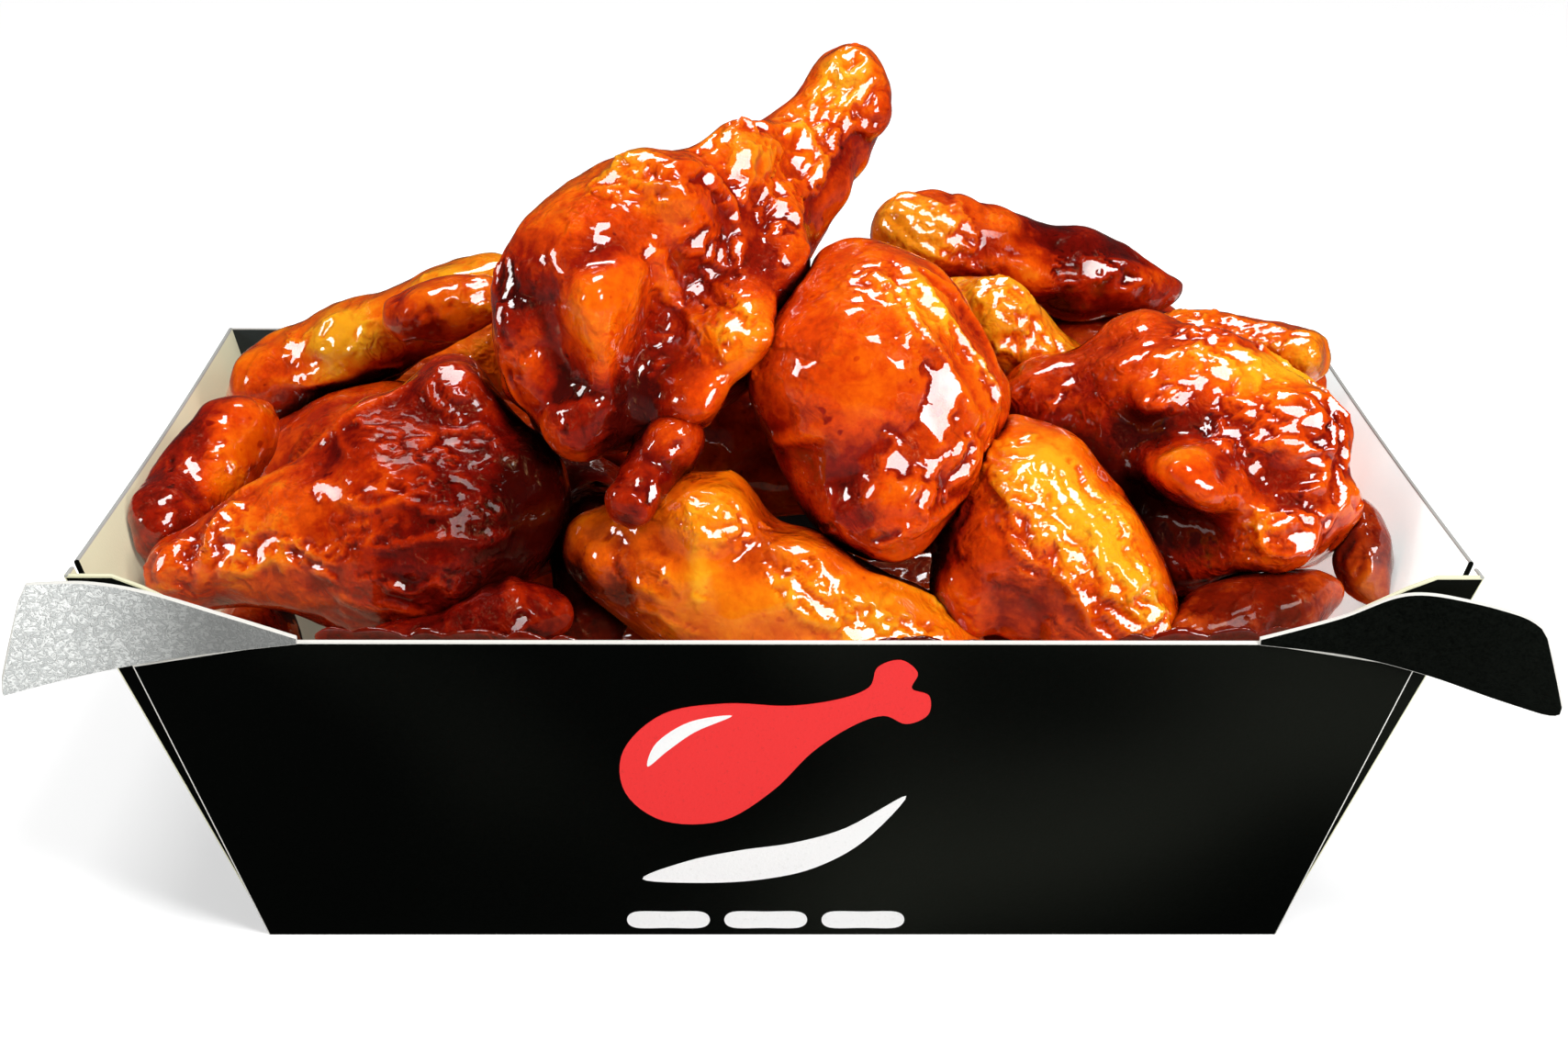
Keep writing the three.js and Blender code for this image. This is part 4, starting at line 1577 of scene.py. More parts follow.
# the darker tints over its right side are painted shade
LEFT_DRUMETTE = Wing(
    "left_drumette", RED, Detail.HERO, 4, tone=0.41, rough=0.5, even=12, wet=0.06,
    dulls=tints((60, 72, 11, 0.74), (75, 50, 12, 0.76), (82, 68, 8, 0.7), (50, 40, 6, 0.55)),
    sparkles=sparkles(
        (4, 100, 1.8, (20, 46), (22, 30), (32, 31), (42, 28)), (5, 45, 0.9, (50, 50), (64, 46), (80, 50)),
        (5, 45, 0.9, (50, 28), (64, 26), (78, 34)), (3, 14, 1.6, (50, 74), (64, 70)),
        (4, 30, 1.1, (62, 66), (78, 66)), (3, 12, 1.5, (70, 94), (73, 80)), (4, 40, 1.5, (10, 35), (5, 20)),
    ),
    lumps=lumps(
        (72, 90, 6, 1.2), (60, 60, 11, 1.2), (80, 50, 9, 0.8), (38, 42, 9, 1.0), (22, 42, 5, 0.9),
        (6, 28, 4.5, 1.0), (30, 22, 8, 0.8), (50, 25, 8, 0.6),
    ),
    strokes=strokes(
        (1.3, 1.0, (36, 64), (43, 70), (50, 79), (58, 85), (63, 91)),
        (0.9, 0.5, (46, 75), (47, 68), (50, 64)), (1.1, 0.9, (13, 20), (16, 30), (17, 40), (20, 48)),
        (1.3, -1.1, (9, 20), (12, 30), (14, 40)), (1.2, 0.6, (19, 50), (28, 57), (36, 61)),
        (0.8, 0.45, (48, 50), (55, 46), (63, 50), (70, 46), (78, 49)),
        (0.8, 0.5, (50, 36), (60, 34), (70, 38), (80, 36), (86, 40)),
        (0.9, 0.4, (56, 50), (60, 57), (55, 62)), (0.8, 0.4, (66, 62), (70, 58), (68, 52), (73, 50)),
        (0.9, 0.5, (58, 22), (64, 20), (70, 24), (75, 20)),
        (0.9, 0.5, (45, 20), (52, 16), (60, 15), (68, 12)), (0.9, 0.5, (70, 73), (76, 71.5), (80, 74)),
        (1.6, -1.0, (80, 80), (70, 78), (62, 80), (57, 84)), (1.1, 0.5, (80, 75), (83, 66), (90, 60)),
        (1.0, 0.6, (66, 90), (68, 83), (72, 79)),
    ),
    flats=flats(
        (1.6, (21, 44), (20, 37)), (2.6, (22, 32), (27, 29), (31, 33)), (1.8, (34, 32), (38, 30), (42, 28)),
        (1.6, (43, 53), (48, 52)), (1.0, (50, 42), (54, 43)), (1.2, (57, 72), (60, 75)),
        (1.4, (63, 71), (66, 67)), (1.3, (73, 69), (78, 67)), (1.1, (76, 58), (78, 55)),
        (1.4, (70, 94), (74, 90)), (1.2, (73, 84), (73, 80)), (1.3, (10, 34), (12, 29)),
        (0.9, (52, 33), (52, 30)), (0.9, (73, 26), (74, 20)), (1.1, (2, 28), (3, 22)),
        (0.9, (55, 10), (62, 9)),
    ),
    tints=tints(
        (30, 36, 9, 0.26), (20, 25, 8, 0.2), (38, 54, 6, 0.16), (25, 55, 5, 0.12), (55, 45, 6, 0.08),
        (90, 40, 11, -0.5), (80, 20, 8, -0.3), (50, 70, 6, -0.18), (92, 60, 8, -0.4), (6, 22, 4, 0.24),
        (14, 20, 4, -0.2), (70, 90, 6, -0.25), (62, 30, 7, -0.16), (72, 55, 6, -0.15),
    ),
)
FRONT_LEFT_FLAT = Wing(
    "front_left_flat", AMBER, Detail.HERO, 5, tone=0.46, rough=0.35, even=12, wet=0.2,
    sparkles=sparkles(
        (4, 40, 1.8, (50, 66), (58, 50), (66, 42)), (4, 50, 1.9, (68, 40), (86, 34)),
        (4, 20, 1.7, (30, 86), (38, 78)),
    ),
    lumps=lumps((10, 65, 5, 1.2), (32, 85, 8, 1.0), (45, 66, 12, 1.0), (22, 50, 8, 0.8), (78, 45, 10, 0.8)),
    strokes=strokes(
        (1.4, 0.5, (30, 90), (31, 75), (31, 60), (31, 45)), (1.5, -1.1, (13, 78), (13, 62), (15, 46)),
        (1.1, 0.6, (68, 62), (78, 56), (86, 50), (95, 38)), (0.9, 0.4, (15, 58), (20, 55), (24, 50)),
        (0.9, 0.4, (16, 48), (22, 46), (27, 40)), (0.9, 0.35, (17, 68), (23, 65), (26, 58)),
        (0.8, -0.4, (72, 48), (74, 43), (78, 42)),
    ),
    flats=flats(
        (1.7, (30, 86), (32, 88)), (1.5, (32, 77), (35, 76.5), (38.5, 78)), (0.9, (45, 79), (46, 78)),
        (1.4, (48, 67), (50, 66)), (1.9, (52, 58), (53, 53), (54, 48)), (1.1, (57, 52), (58, 56)),
        (1.1, (59, 48), (59, 44)), (1.3, (62, 51), (65, 47)), (2.8, (68, 40), (74, 36), (84, 34)),
        (1.0, (31, 53), (32, 52)), (1.1, (12, 67), (13, 62)), (1.0, (84, 50), (90, 44)),
        (1.0, (37, 87), (39, 86)), (0.9, (29, 42), (30, 40)),
    ),
    tints=tints(
        (32, 55, 6, 0.3), (32, 82, 5, 0.2), (70, 46, 8, 0.25), (85, 50, 6, 0.3), (50, 50, 6, 0.15),
        (42, 62, 5, -0.08), (45, 82, 6, -0.12), (15, 50, 6, -0.25), (4, 60, 5, -0.65), (62, 72, 5, -0.25),
        (68, 62, 4, -0.2), (28, 66, 5, -0.05),
    ),
)
FRONT_RIGHT_FLAT = Wing(
    "front_right_flat", ORANGE, Detail.HERO, 6, tone=0.47, rough=0.45, even=12, wet=0.25, slot="glaze_amber",
    sparkles=sparkles(
        (5, 110, 1.9, (20, 82), (36, 66), (50, 48), (66, 30)), (4, 40, 1.7, (50, 80), (70, 55), (85, 36)),
        (5, 70, 1.9, (72, 34), (90, 30)),
    ),
    lumps=lumps(
        (35, 80, 7, 0.8), (50, 55, 9, 1.0), (75, 40, 7, 1.0), (20, 50, 9, 1.0), (8, 35, 8, 3.0),
        (16, 14, 8, 3.0),
    ),
    strokes=strokes(
        (1.8, 0.8, (26, 80), (36, 68), (46, 55), (54, 43), (62, 30)),
        (1.2, 0.6, (22, 82), (28, 75), (32, 62)), (1.6, 0.6, (46, 82), (58, 64), (68, 50), (80, 40)),
        (1.2, -0.6, (40, 76), (50, 62), (58, 50), (64, 40)),
        (1.0, 0.8, (62, 44), (67, 37), (74, 38), (80, 33)), (1.0, 0.6, (78, 32), (84, 36), (90, 34)),
        (0.9, 0.5, (30, 60), (33, 55), (38, 52)),
    ),
    flats=flats(
        (1.6, (25, 79), (28, 75)), (1.5, (31, 70), (34, 68), (30, 60)), (1.9, (41, 64), (44, 60), (42, 54)),
        (1.1, (34, 57), (35, 55)), (1.1, (34, 49), (37, 47)), (1.8, (52, 46), (55, 41), (60, 36), (66, 28)),
        (2.3, (72, 34), (76, 32), (80, 36), (84, 34)), (2.0, (82, 28), (88, 30)), (1.3, (15, 69), (20, 70)),
        (0.9, (12, 64), (11, 61)), (1.7, (36, 80), (45, 78), (50, 72)), (1.4, (62, 58), (66, 53)),
        (1.2, (78, 50), (80, 46)), (0.9, (44, 32), (45, 30)), (1.0, (50, 26), (54, 25)),
        (1.0, (68, 45), (71, 42)), (0.8, (11, 55), (13, 55)),
    ),
    tints=tints(
        (40, 84, 7, 0.42), (56, 70, 7, 0.42), (68, 56, 7, 0.38), (80, 46, 6, 0.25), (88, 36, 5, 0.2),
        (22, 45, 8, -0.08), (6, 58, 5, -0.15), (36, 30, 7, -0.06), (70, 42, 3, -0.18),
    ),
)
CREST_FLAT = Wing(
    "crest_flat", RED, Detail.HERO, 7, tone=0.39, rough=0.5, wet=0.05,
    dulls=tints((50, 60, 9, 0.8), (90, 50, 6, 0.6)),
    sparkles=sparkles((5, 80, 2.0, (8, 85), (15, 70), (24, 60)), (3, 16, 1.5, (60, 40), (85, 30))),
    lumps=lumps((10, 60, 7, 0.8), (50, 30, 6, 1.0), (78, 35, 5, 0.9), (29, 90, 3, 0.7), (93, 52, 6, -1.8)),
    strokes=strokes(
        (1.2, 0.8, (26, 95), (25, 78), (22, 62), (20, 48)), (1.4, -0.7, (42, 60), (50, 64), (60, 54)),
        (1.2, 0.7, (62, 36), (70, 42), (80, 40), (90, 34)), (1.0, 0.5, (28, 40), (40, 42), (50, 36)),
    ),
    flats=flats(
        (1.7, (11, 86), (12, 76), (18, 75), (23, 74)), (1.2, (25, 82), (25, 70)), (1.3, (24, 60), (25, 52)),
        (1.2, (18, 50), (22, 46)), (1.3, (31, 40), (33, 38)), (1.0, (64, 48), (66, 42)),
        (1.1, (71, 50), (74, 40)), (1.5, (79, 27), (81, 31)), (1.0, (84, 32), (87, 28)),
        (0.8, (37, 40), (38, 38)),
    ),
    tints=tints(
        (10, 75, 8, 0.62), (20, 60, 5, 0.45), (36, 75, 5, 0.3), (47, 32, 5, 0.3), (50, 85, 7, -0.2),
        (65, 60, 8, -0.2), (80, 55, 7, -0.2), (88, 30, 4, 0.16), (62, 10, 5, -0.25),
    ),
)
# its tone is raised as painted light, against the shadow it lies in
BACK_LEFT_FLAT = Wing(
    "back_left_flat", ORANGE, Detail.HERO, 8, tone=0.66, rough=0.4, window=(-0.04, 1.0, 0.03, 0.95), wet=0.15,
    lumps=lumps((15, 35, 7, 0.8), (45, 50, 9, 1.0), (75, 85, 6, 0.8), (20, 62, 4, 0.7)),
    strokes=strokes(
        (1.6, -0.8, (18, 42), (30, 43), (42, 42), (52, 42)), (1.4, 0.6, (20, 32), (32, 32), (45, 32)),
    ),
    flats=flats(
        (1.4, (27, 52), (31, 52.5)), (1.5, (40, 48), (43, 51)), (1.1, (47.5, 50), (48, 49)),
        (1.6, (31, 31), (37, 31)), (1.1, (53, 30), (55, 28)), (1.2, (58, 40), (63, 41)),
        (1.3, (72, 90), (78, 86)), (1.1, (81, 80), (82, 78)),
    ),
    tints=tints(
        (40, 55, 6, 0.26), (50, 62, 5, 0.22), (80, 85, 8, 0.25), (12, 20, 6, -0.35), (30, 8, 8, -0.45),
        (50, 20, 6, -0.1), (62, 50, 4, -0.05), (20, 45, 5, -0.06), (42, 40, 5, 0.1),
    ),
)
LEFT_END_FLAT = Wing(
    "left_end_flat", ORANGE, Detail.HERO, 13, tone=0.37, rough=0.4, window=(0.0, 1.02, 0.0, 0.96), wet=0.1,
    slot="glaze_red",
    strokes=strokes((1.4, -0.9, (42, 90), (46, 70), (48, 50), (52, 40))),
    flats=flats((1.0, (25, 65), (27, 60)), (0.9, (34, 62), (38, 60)), (1.0, (32, 40), (36, 38))),
    tints=tints(
        (15, 45, 8, -0.3), (35, 85, 6, -0.4), (30, 20, 6, -0.3), (66, 55, 4, 0.3), (75, 78, 4, 0.24),
        (70, 30, 4, 0.1),
    ),
)

WINGS: tuple[Wing, ...] = (
    TOP_DRUMETTE,
    CENTRE_THIGH,
    RIGHT_CLUSTER,
    LEFT_DRUMETTE,
    FRONT_LEFT_FLAT,
    FRONT_RIGHT_FLAT,
    CREST_FLAT,
    BACK_LEFT_FLAT,
    Wing("back_left_tip", ORANGE, Detail.HERO, 9, tone=0.45, rough=0.5,
         tints=tints((20, 20, 5, -0.3), (25, 70, 4, 0.2), (70, 60, 6, 0.2))),
    Wing("right_low_tip", DARK, Detail.HERO, 10, tone=0.47, rough=0.5, wet=0.0,
         dulls=tints((50, 60, 14, 0.75))),
    Wing("right_end_tip", DARK, Detail.HERO, 11, tone=0.45, rough=0.5, wet=0.2,
         tints=tints((50, 30, 4, 0.25))),
    Wing("front_low_tip", RED, Detail.HERO, 12, tone=0.2, rough=0.9, wet=0.05,
         dulls=tints((60, 60, 12, 0.6))),
    LEFT_END_FLAT,
    Wing("right_deep_flat", ORANGE, Detail.HERO, 14, tone=0.44, rough=0.4, wet=0.1),
    Wing("hanging_tip", RED, Detail.HERO, 15, tone=0.3, rough=0.5, even=5, wet=0.1, slot="glaze_dark",
         lumps=lumps((75, 90, 6, 2.6), (15, 12, 4, -0.9)), tints=tints((70, 70, 4, 0.2))),
    # its pale tone is partly painted highlight, standing for the washed-out sheen of its glaze
    Wing("centre_back_flat", ORANGE, Detail.HERO, 16, tone=0.84, rough=0.6,
         sparkles=sparkles((7, 160, 2.0, (20, 85), (45, 70), (60, 50)))),
    Wing("right_back_flat", ORANGE, Detail.HERO, 17, tone=0.6, rough=0.8,
         sparkles=sparkles((5, 120, 1.9, (10, 80), (50, 70), (90, 60)))),
    Wing("centre_low_flat", DARK, Detail.HERO, 18, tone=0.3, rough=0.5, wet=0.0,
         dulls=tints((50, 50, 25, 0.8))),
    Wing("rear_top_drumette", ORANGE, Detail.NEAR, 19),
    Wing("rear_right_drumette", RED, Detail.NEAR, 20),
    Wing("rear_left_flat", AMBER, Detail.NEAR, 21),
    Wing("rear_middle_thigh", ORANGE, Detail.NEAR, 22, tone=0.45),
    Wing("rear_end_flat", RED, Detail.NEAR, 23),
    Wing("middle_left_thigh", RED, Detail.FAR, 24),
    Wing("middle_flat", ORANGE, Detail.FAR, 25, tone=0.42),
    Wing("middle_right_thigh", ORANGE, Detail.FAR, 26),
    # painted shade: very low tones for pieces seen only deep in the gaps
    Wing("middle_front_flat", RED, Detail.FAR, 35, tone=0.15),
    Wing("centre_gap_flat", RED, Detail.FAR, 36, tone=0.08),
    Wing("low_left_thigh", RED, Detail.BURIED, 33),
    Wing("low_right_thigh", RED, Detail.BURIED, 34),
    Wing("low_front_left_drumette", RED, Detail.BURIED, 27),
    Wing("low_front_right_drumette", RED, Detail.BURIED, 28),
    Wing("low_back_left_flat", ORANGE, Detail.BURIED, 29),
    Wing("low_back_right_flat", ORANGE, Detail.BURIED, 30),
    Wing("low_middle_left_flat", RED, Detail.BURIED, 31),
    Wing("low_middle_right_flat", RED, Detail.BURIED, 32),
)


# ---- the tray ----


def lerp(first: float, second: float, share: float) -> float:
    """The value at a share of the way from the first to the second."""
    return first + (second - first) * share


def curve_point(points: Sequence[Sequence[float]], share: float, closed: bool = False) -> Array:
    """A point on a smooth curve through some points.

    Args:
        points: the curve's points.
        share: place along it, from 0 to 1.
        closed: whether the curve comes back to its start.

    Returns:
        The point.
    """
    places = np.array(points, float)
    count = len(places)
    parts = count if closed else count - 1
    index = min(int(share * parts), parts - 1)
    t = share * parts - index
    picks = np.arange(index - 1, index + 3)
    picks = picks % count if closed else np.clip(picks, 0, count - 1)
    before, start, end, after = places[picks]
    return 0.5 * ((2 * start) + (end - before) * t
                  + (2 * before - 5 * start + 4 * end - after) * t ** 2
                  + (3 * start - before - 3 * end + after) * t ** 3)


@dataclass
class Tray:
    """The folded board tray: base, four leaning walls, glued panels, lip and ears."""

    board: float = 0.0008  # thickness
    base_half: tuple[float, float] = (0.077, 0.0512)  # half its size across and front to back
    rim_half: tuple[float, float] = (0.100, 0.0692)
    rim_height: float = 0.064
    panel_bottom: float = 0.077  # half the front panel's width
    panel_top: float = 0.092
    panel_slack: float = 0.001
    panel_middle_height: float = 0.0535
    panel_end_height: float = 0.0495
    level_half: float = 0.069  # half the level part of its top edge
    panel_lap: float = 0.003  # how far the panel stands above the front wall's inner layer
    ear_rise: float = 0.574  # slope of that layer up to the rim, beyond the level part
    back_inset: tuple[float, float] = (0.0005, 0.003)  # of the back panel's ends, below and above
    lip_depth: float = 0.018
    lip_drop: float = 0.0002
    lip_inset: tuple[float, float] = (0.013, 0.009)  # of the lip's ends, below and above
    lip_gap: float = 0.95  # from the back wall's face to the lip's, in boards
    side_bow: float = 0.0006
    nick: Point = (0.02, 0.003, 0.0044)
    nick_from_end: float = 0.005
    bevel: float = 0.0003
    bevel_angle: float = 50  # degrees
    smooth_angle: float = 35  # degrees
    pieces: list[Piece] = field(default_factory=list)

    def half_x(self, height: float) -> float:
        """Half the tray's width at a height."""
        return lerp(self.base_half[0], self.rim_half[0], height / self.rim_height)

    def half_y(self, height: float) -> float:
        """Half the tray's depth at a height."""
        return lerp(self.base_half[1], self.rim_half[1], height / self.rim_height)

    @property
    def slant(self) -> tuple[float, float]:
        """Level and upright parts of the front wall's outward normal.

        Returns:
            The two parts.
        """
        lean = (self.rim_half[1] - self.base_half[1]) / self.rim_height
        length = math.hypot(1, lean)
        return 1 / length, lean / length

    def panel_point(self, across: float, height: float, proud: float = 0.0) -> Point:
        """A point on the front panel's outer face.

        Args:
            across: distance right of the middle.
            height: height above the base.
            proud: distance out of the face.

        Returns:
            The point.
        """
        level, upright = self.slant
        out = self.board + proud
        return across, -self.half_y(height) - level * out, height - upright * out

    def contain(self, skin: Skin, gap: float = 0.0011) -> None:
        """Keeps a piece's points inside the walls and above the base.

        Args:
            skin: the piece's points.
            gap: how far in from the walls' outer faces they stay.
        """
        height = skin.points[:, 2]
        low = height < self.rim_height
        for axis in (0, 1):
            room = lerp(self.base_half[axis], self.rim_half[axis], height[low] / self.rim_height) - gap
            skin.points[low, axis] = np.clip(skin.points[low, axis], -room, room)
        skin.points[:, 2] = np.maximum(height, gap)
        skin.write()

    def build(self) -> None:
        """Makes every sheet of the tray."""
        self._base()
        self._side_walls()
        self._front_wall()
        self._front_panel()
        self._back_wall()
        self._back_lip()
        for ear in EARS:
            self.pieces.append(ear.build(self))
        for piece in self.pieces:
            hand_over(piece, TRAY_SLOT, "tray")

    def sheet(self, name: str, place: Callable[[float, float], Point], grid: tuple[int, int],
              outward: Point, faces: tuple[Finish, Finish, Finish]) -> Piece:
        """Makes one sheet of board from its outer face.

        Args:
            name: the piece's name.
            place: gives the outer face's point at a share across and up.
            grid: faces across and up.
            outward: roughly which way the outer face looks.
            faces: finishes of the outer face, the inner face and the cut edge.

        Returns:
            The sheet.
        """
        deselect_all()
        bpy.ops.mesh.primitive_grid_add(x_subdivisions=grid[0], y_subdivisions=grid[1], size=2)
        piece = name_piece(bpy.context.object, name)
        for vertex in piece.data.vertices:
            vertex.co = place((vertex.co.x + 1) / 2, (vertex.co.y + 1) / 2)
        piece.data.update()
        if sum((face.normal.dot(Vector(outward)) for face in piece.data.polygons)) < 0:
            with edit_mode(piece):
                bpy.ops.mesh.flip_normals()
        for finish in faces:
            finish.put_on(piece)
        apply_modifier(piece, "SOLIDIFY", thickness=self.board, offset=-1,
                       material_offset=1, material_offset_rim=2, use_even_offset=True)
        apply_modifier(piece, "BEVEL", width=self.bevel, segments=2, limit_method="ANGLE",
                       angle_limit=math.radians(self.bevel_angle), material=2)
        activate(piece)
        bpy.ops.object.shade_smooth_by_angle(angle=math.radians(self.smooth_angle))
        return piece

    def _base(self) -> None:
        """The flat base."""
        def place(s: float, t: float) -> Point:
            """A place on the base."""
            return (2 * s - 1) * self.base_half[0], (2 * t - 1) * self.base_half[1], 0.0

        faces = (BLACK_BOARD, PAINTED_SHADE_BASE_BOARD, CORE_BOARD)
        self.pieces.append(self.sheet("tray_base", place, (12, 8), (0, 0, -1), faces))

    def _side_walls(self) -> None:
        """The two side walls, cream inside."""
        for side, name in ((-1, "left"), (1, "right")):
            def place(s: float, t: float, side: int = side) -> Point:
                """A place on the side wall, bowed in a little."""
                height = t * self.rim_height
                bow = self.side_bow * math.sin(math.pi * s) * math.sin(math.pi * t / 2)
                return side * (self.half_x(height) - bow), (2 * s - 1) * self.half_y(height), height

            faces = (BLACK_BOARD, CREAM_BOARD if side < 0 else GLOWING_WHITE_BOARD, GREY_EDGE)
            wall = self.sheet(f"tray_{name}_wall", place, (24, 12), (side, 0, 0), faces)
            self._nick(wall, side)
            self.pieces.append(wall)

    def _nick(self, wall: Piece, side: int) -> None:
        """Cuts the small nick near the front end of a side wall's rim.

        Args:
            wall: the side wall.
            side: -1 for the left one, 1 for the right one.
        """
        deselect_all()
        spot = (side * self.rim_half[0], -self.rim_half[1] + self.nick_from_end, self.rim_height)
        bpy.ops.mesh.primitive_cube_add(size=1, location=spot, scale=self.nick)
        cutter = bpy.context.object
        settle(cutter)
        apply_modifier(wall, "BOOLEAN", operation="DIFFERENCE", object=cutter, solver="EXACT")
        bpy.data.objects.remove(cutter)

    def _front_top(self, across: float) -> float:
        """Height of the front wall's inner layer at a place across."""
        past = max(0.0, abs(across) - self.level_half)
        return min(self.rim_height, self.panel_middle_height - self.panel_lap + past * self.ear_rise)

    def _front_wall(self) -> None:
        """The front wall's inner layer, cut low between the ears."""
        def place(s: float, t: float) -> Point:
            """A place on the layer, under a top edge found by trial."""
            share = 2 * s - 1
            top = self.rim_height
            for _ in range(8):
                top = self._front_top(share * self.half_x(top))
            height = t * top
            return share * self.half_x(height), -self.half_y(height), height

        faces = (BLACK_BOARD, CREAM_BOARD, CREAM_BOARD)
        self.pieces.append(self.sheet("tray_front_wall", place, (60, 10), (0, -1, 0), faces))

    def panel_top_height(self, across: float) -> float:
        """Height of the front panel's top edge at a place across it."""
        past = (abs(across) - self.level_half) / (self.panel_top - self.level_half)
        return lerp(self.panel_middle_height, self.panel_end_height, min(1.0, max(0.0, past)))

    def _front_panel(self) -> None:
        """The glued front panel that faces the viewer."""
        def place(s: float, t: float) -> Point:
            """A place on the panel, wider above than below."""
            share = 2 * s - 1
            height = t * self.panel_top_height(share * self.panel_top)
            across = share * lerp(self.panel_bottom, self.panel_top, height / self.panel_end_height)
            across = math.copysign(min(abs(across), self.panel_top + self.panel_slack), across)
            return self.panel_point(across, height)

        faces = (BLACK_BOARD, CREAM_BOARD, CORE_BOARD)
        self.pieces.append(self.sheet("tray_front_panel", place, (64, 12), (0, -1, 0), faces))

    def _back_wall(self) -> None:
        """The back wall and the panel glued over it."""
        def inner(s: float, t: float) -> Point:
            """A place on the wall."""
            height = t * self.rim_height
            return (2 * s - 1) * self.half_x(height), self.half_y(height), height

        def outer(s: float, t: float) -> Point:
            """A place on the panel over it."""
            height = t * self.rim_height
            level, upright = self.slant
            low, high = self.back_inset
            half = lerp(self.panel_bottom - low, self.rim_half[0] - high, t)
            return (2 * s - 1) * half, self.half_y(height) + level * self.board, height - upright * self.board

        faces = (BLACK_BOARD, LIP_BOARD, GREY_EDGE)
        self.pieces.append(self.sheet("tray_back_wall", inner, (40, 10), (0, 1, 0), faces))
        self.pieces.append(self.sheet("tray_back_panel", outer, (40, 10), (0, 1, 0), faces))

    def _back_lip(self) -> None:
        """The strip folded down inside the back wall."""
        def place(s: float, t: float) -> Point:
            """A place on the strip."""
            height = lerp(self.rim_height - self.lip_depth, self.rim_height - self.lip_drop, t)
            level, upright = self.slant
            low, high = self.lip_inset
            half = lerp(self.rim_half[0] - low, self.rim_half[0] - high, t)
            inset = self.board * self.lip_gap
            return (2 * s - 1) * half, self.half_y(height) - level * inset, height + upright * inset

        faces = (LIP_BOARD, LIP_BOARD, GREY_EDGE)
        self.pieces.append(self.sheet("tray_back_lip", place, (40, 4), (0, 1, 0), faces))


@dataclass(frozen=True)
class Ear:
    """A flared end of the front lip, between a lower and an upper edge."""

    name: str
    lower: tuple[Point, ...]  # mm, from the lip out to the tip
    upper: tuple[Point, ...]  # mm
    face: Board
    round_tip: float  # share of its length over which the tip is rounded
    tip_trim: float = 0.16  # how much of each edge the rounding takes off at the very tip
    belly: float = 0.0007

    def build(self, tray: Tray) -> Piece:
        """Makes the ear.

        Args:
            tray: gives the board it is part of.

        Returns:
            The finished sheet.
        """
        def place(s: float, t: float) -> Point:
            """A place between the ear's two edges, rounded off at the tip."""
            low = curve_point(self.lower, s) * MM
            high = curve_point(self.upper, s) * MM
            near_tip = max(0.0, (s - 1 + self.round_tip) / self.round_tip)
            trim = self.tip_trim * (1 - math.sqrt(max(0.0, 1 - near_tip ** 2)))
            share = lerp(trim, 1 - trim, t)
            point = low + (high - low) * share
            point[1] -= self.belly * math.sin(math.pi * share) * s
            return tuple(point)

        return tray.sheet(self.name, place, (40, 10), (0, -1, 0), (self.face, CREAM_BOARD, CORE_BOARD))


EARS: tuple[Ear, ...] = (
    Ear(
        "tray_left_ear",
        lower=(
            (-68, -67.2, 53), (-82, -66.8, 51.2), (-92, -67, 49.6), (-101, -69, 48.2), (-109.5, -72, 46.8),
        ),
        upper=(
            (-68, -67.5, 54), (-79, -69.5, 58.5), (-88, -71, 62), (-96, -72.5, 64), (-104.5, -74, 64.4),
        ),
        face=PAINTED_SHEEN_SILVER_BOARD,
        round_tip=0.03,
    ),
    Ear(
        "tray_right_ear",
        lower=((69, -67.2, 53), (82, -66.8, 51.2), (93, -67, 48.4), (103, -69, 45.4), (112.3, -72, 43.2)),
        upper=((69, -67.5, 54), (80, -68.5, 57.6), (89, -70, 61.6), (98, -72, 61.2), (107.5, -74, 59)),
        face=SPECKLED_BOARD,
        round_tip=0.12,
    ),
)


# ---- the print and the sauce ----


@dataclass(frozen=True)
class Print:
    """A flat printed shape on the front panel, inside a smooth closed line."""

    STEPS = 6  # points from one corner of the outline to the next
    DEPTH = 0.9  # of the height it stands proud

    name: str
    ink: Ink
    outline: tuple[tuple[float, float], ...]  # mm, before it is turned
    middle: tuple[float, float]  # mm across and up
    turn: float = 0.0  # degrees
    proud: float = 0.1  # mm

    def build(self, tray: Tray) -> Piece:
        """Lays the shape on the panel.

        Args:
            tray: gives the panel.

        Returns:
            The finished piece.
        """
        count = len(self.outline) * self.STEPS
        deselect_all()
        bpy.ops.mesh.primitive_circle_add(vertices=count, radius=0.01, fill_type="NGON")
        piece = name_piece(bpy.context.object, self.name)
        cosine, sine = math.cos(math.radians(self.turn)), math.sin(math.radians(self.turn))
        for index, vertex in enumerate(piece.data.vertices):
            x, y = curve_point(self.outline, index / count, closed=True)
            across = self.middle[0] + x * cosine - y * sine
            up = self.middle[1] + x * sine + y * cosine
            vertex.co = tray.panel_point(across * MM, up * MM, self.proud * MM)
        piece.data.update()
        if piece.data.polygons[0].normal.y > 0:
            with edit_mode(piece):
                bpy.ops.mesh.flip_normals()
        self.ink.put_on(piece)
        apply_modifier(piece, "SOLIDIFY", thickness=self.proud * MM * self.DEPTH, offset=-1)
        hand_over(piece, TRAY_SLOT)
        return piece


def mirrored(edge: Path) -> Path:
    """The lower edge that mirrors an upper one, from its other end."""
    return tuple((across, -up) for across, up in reversed(edge))


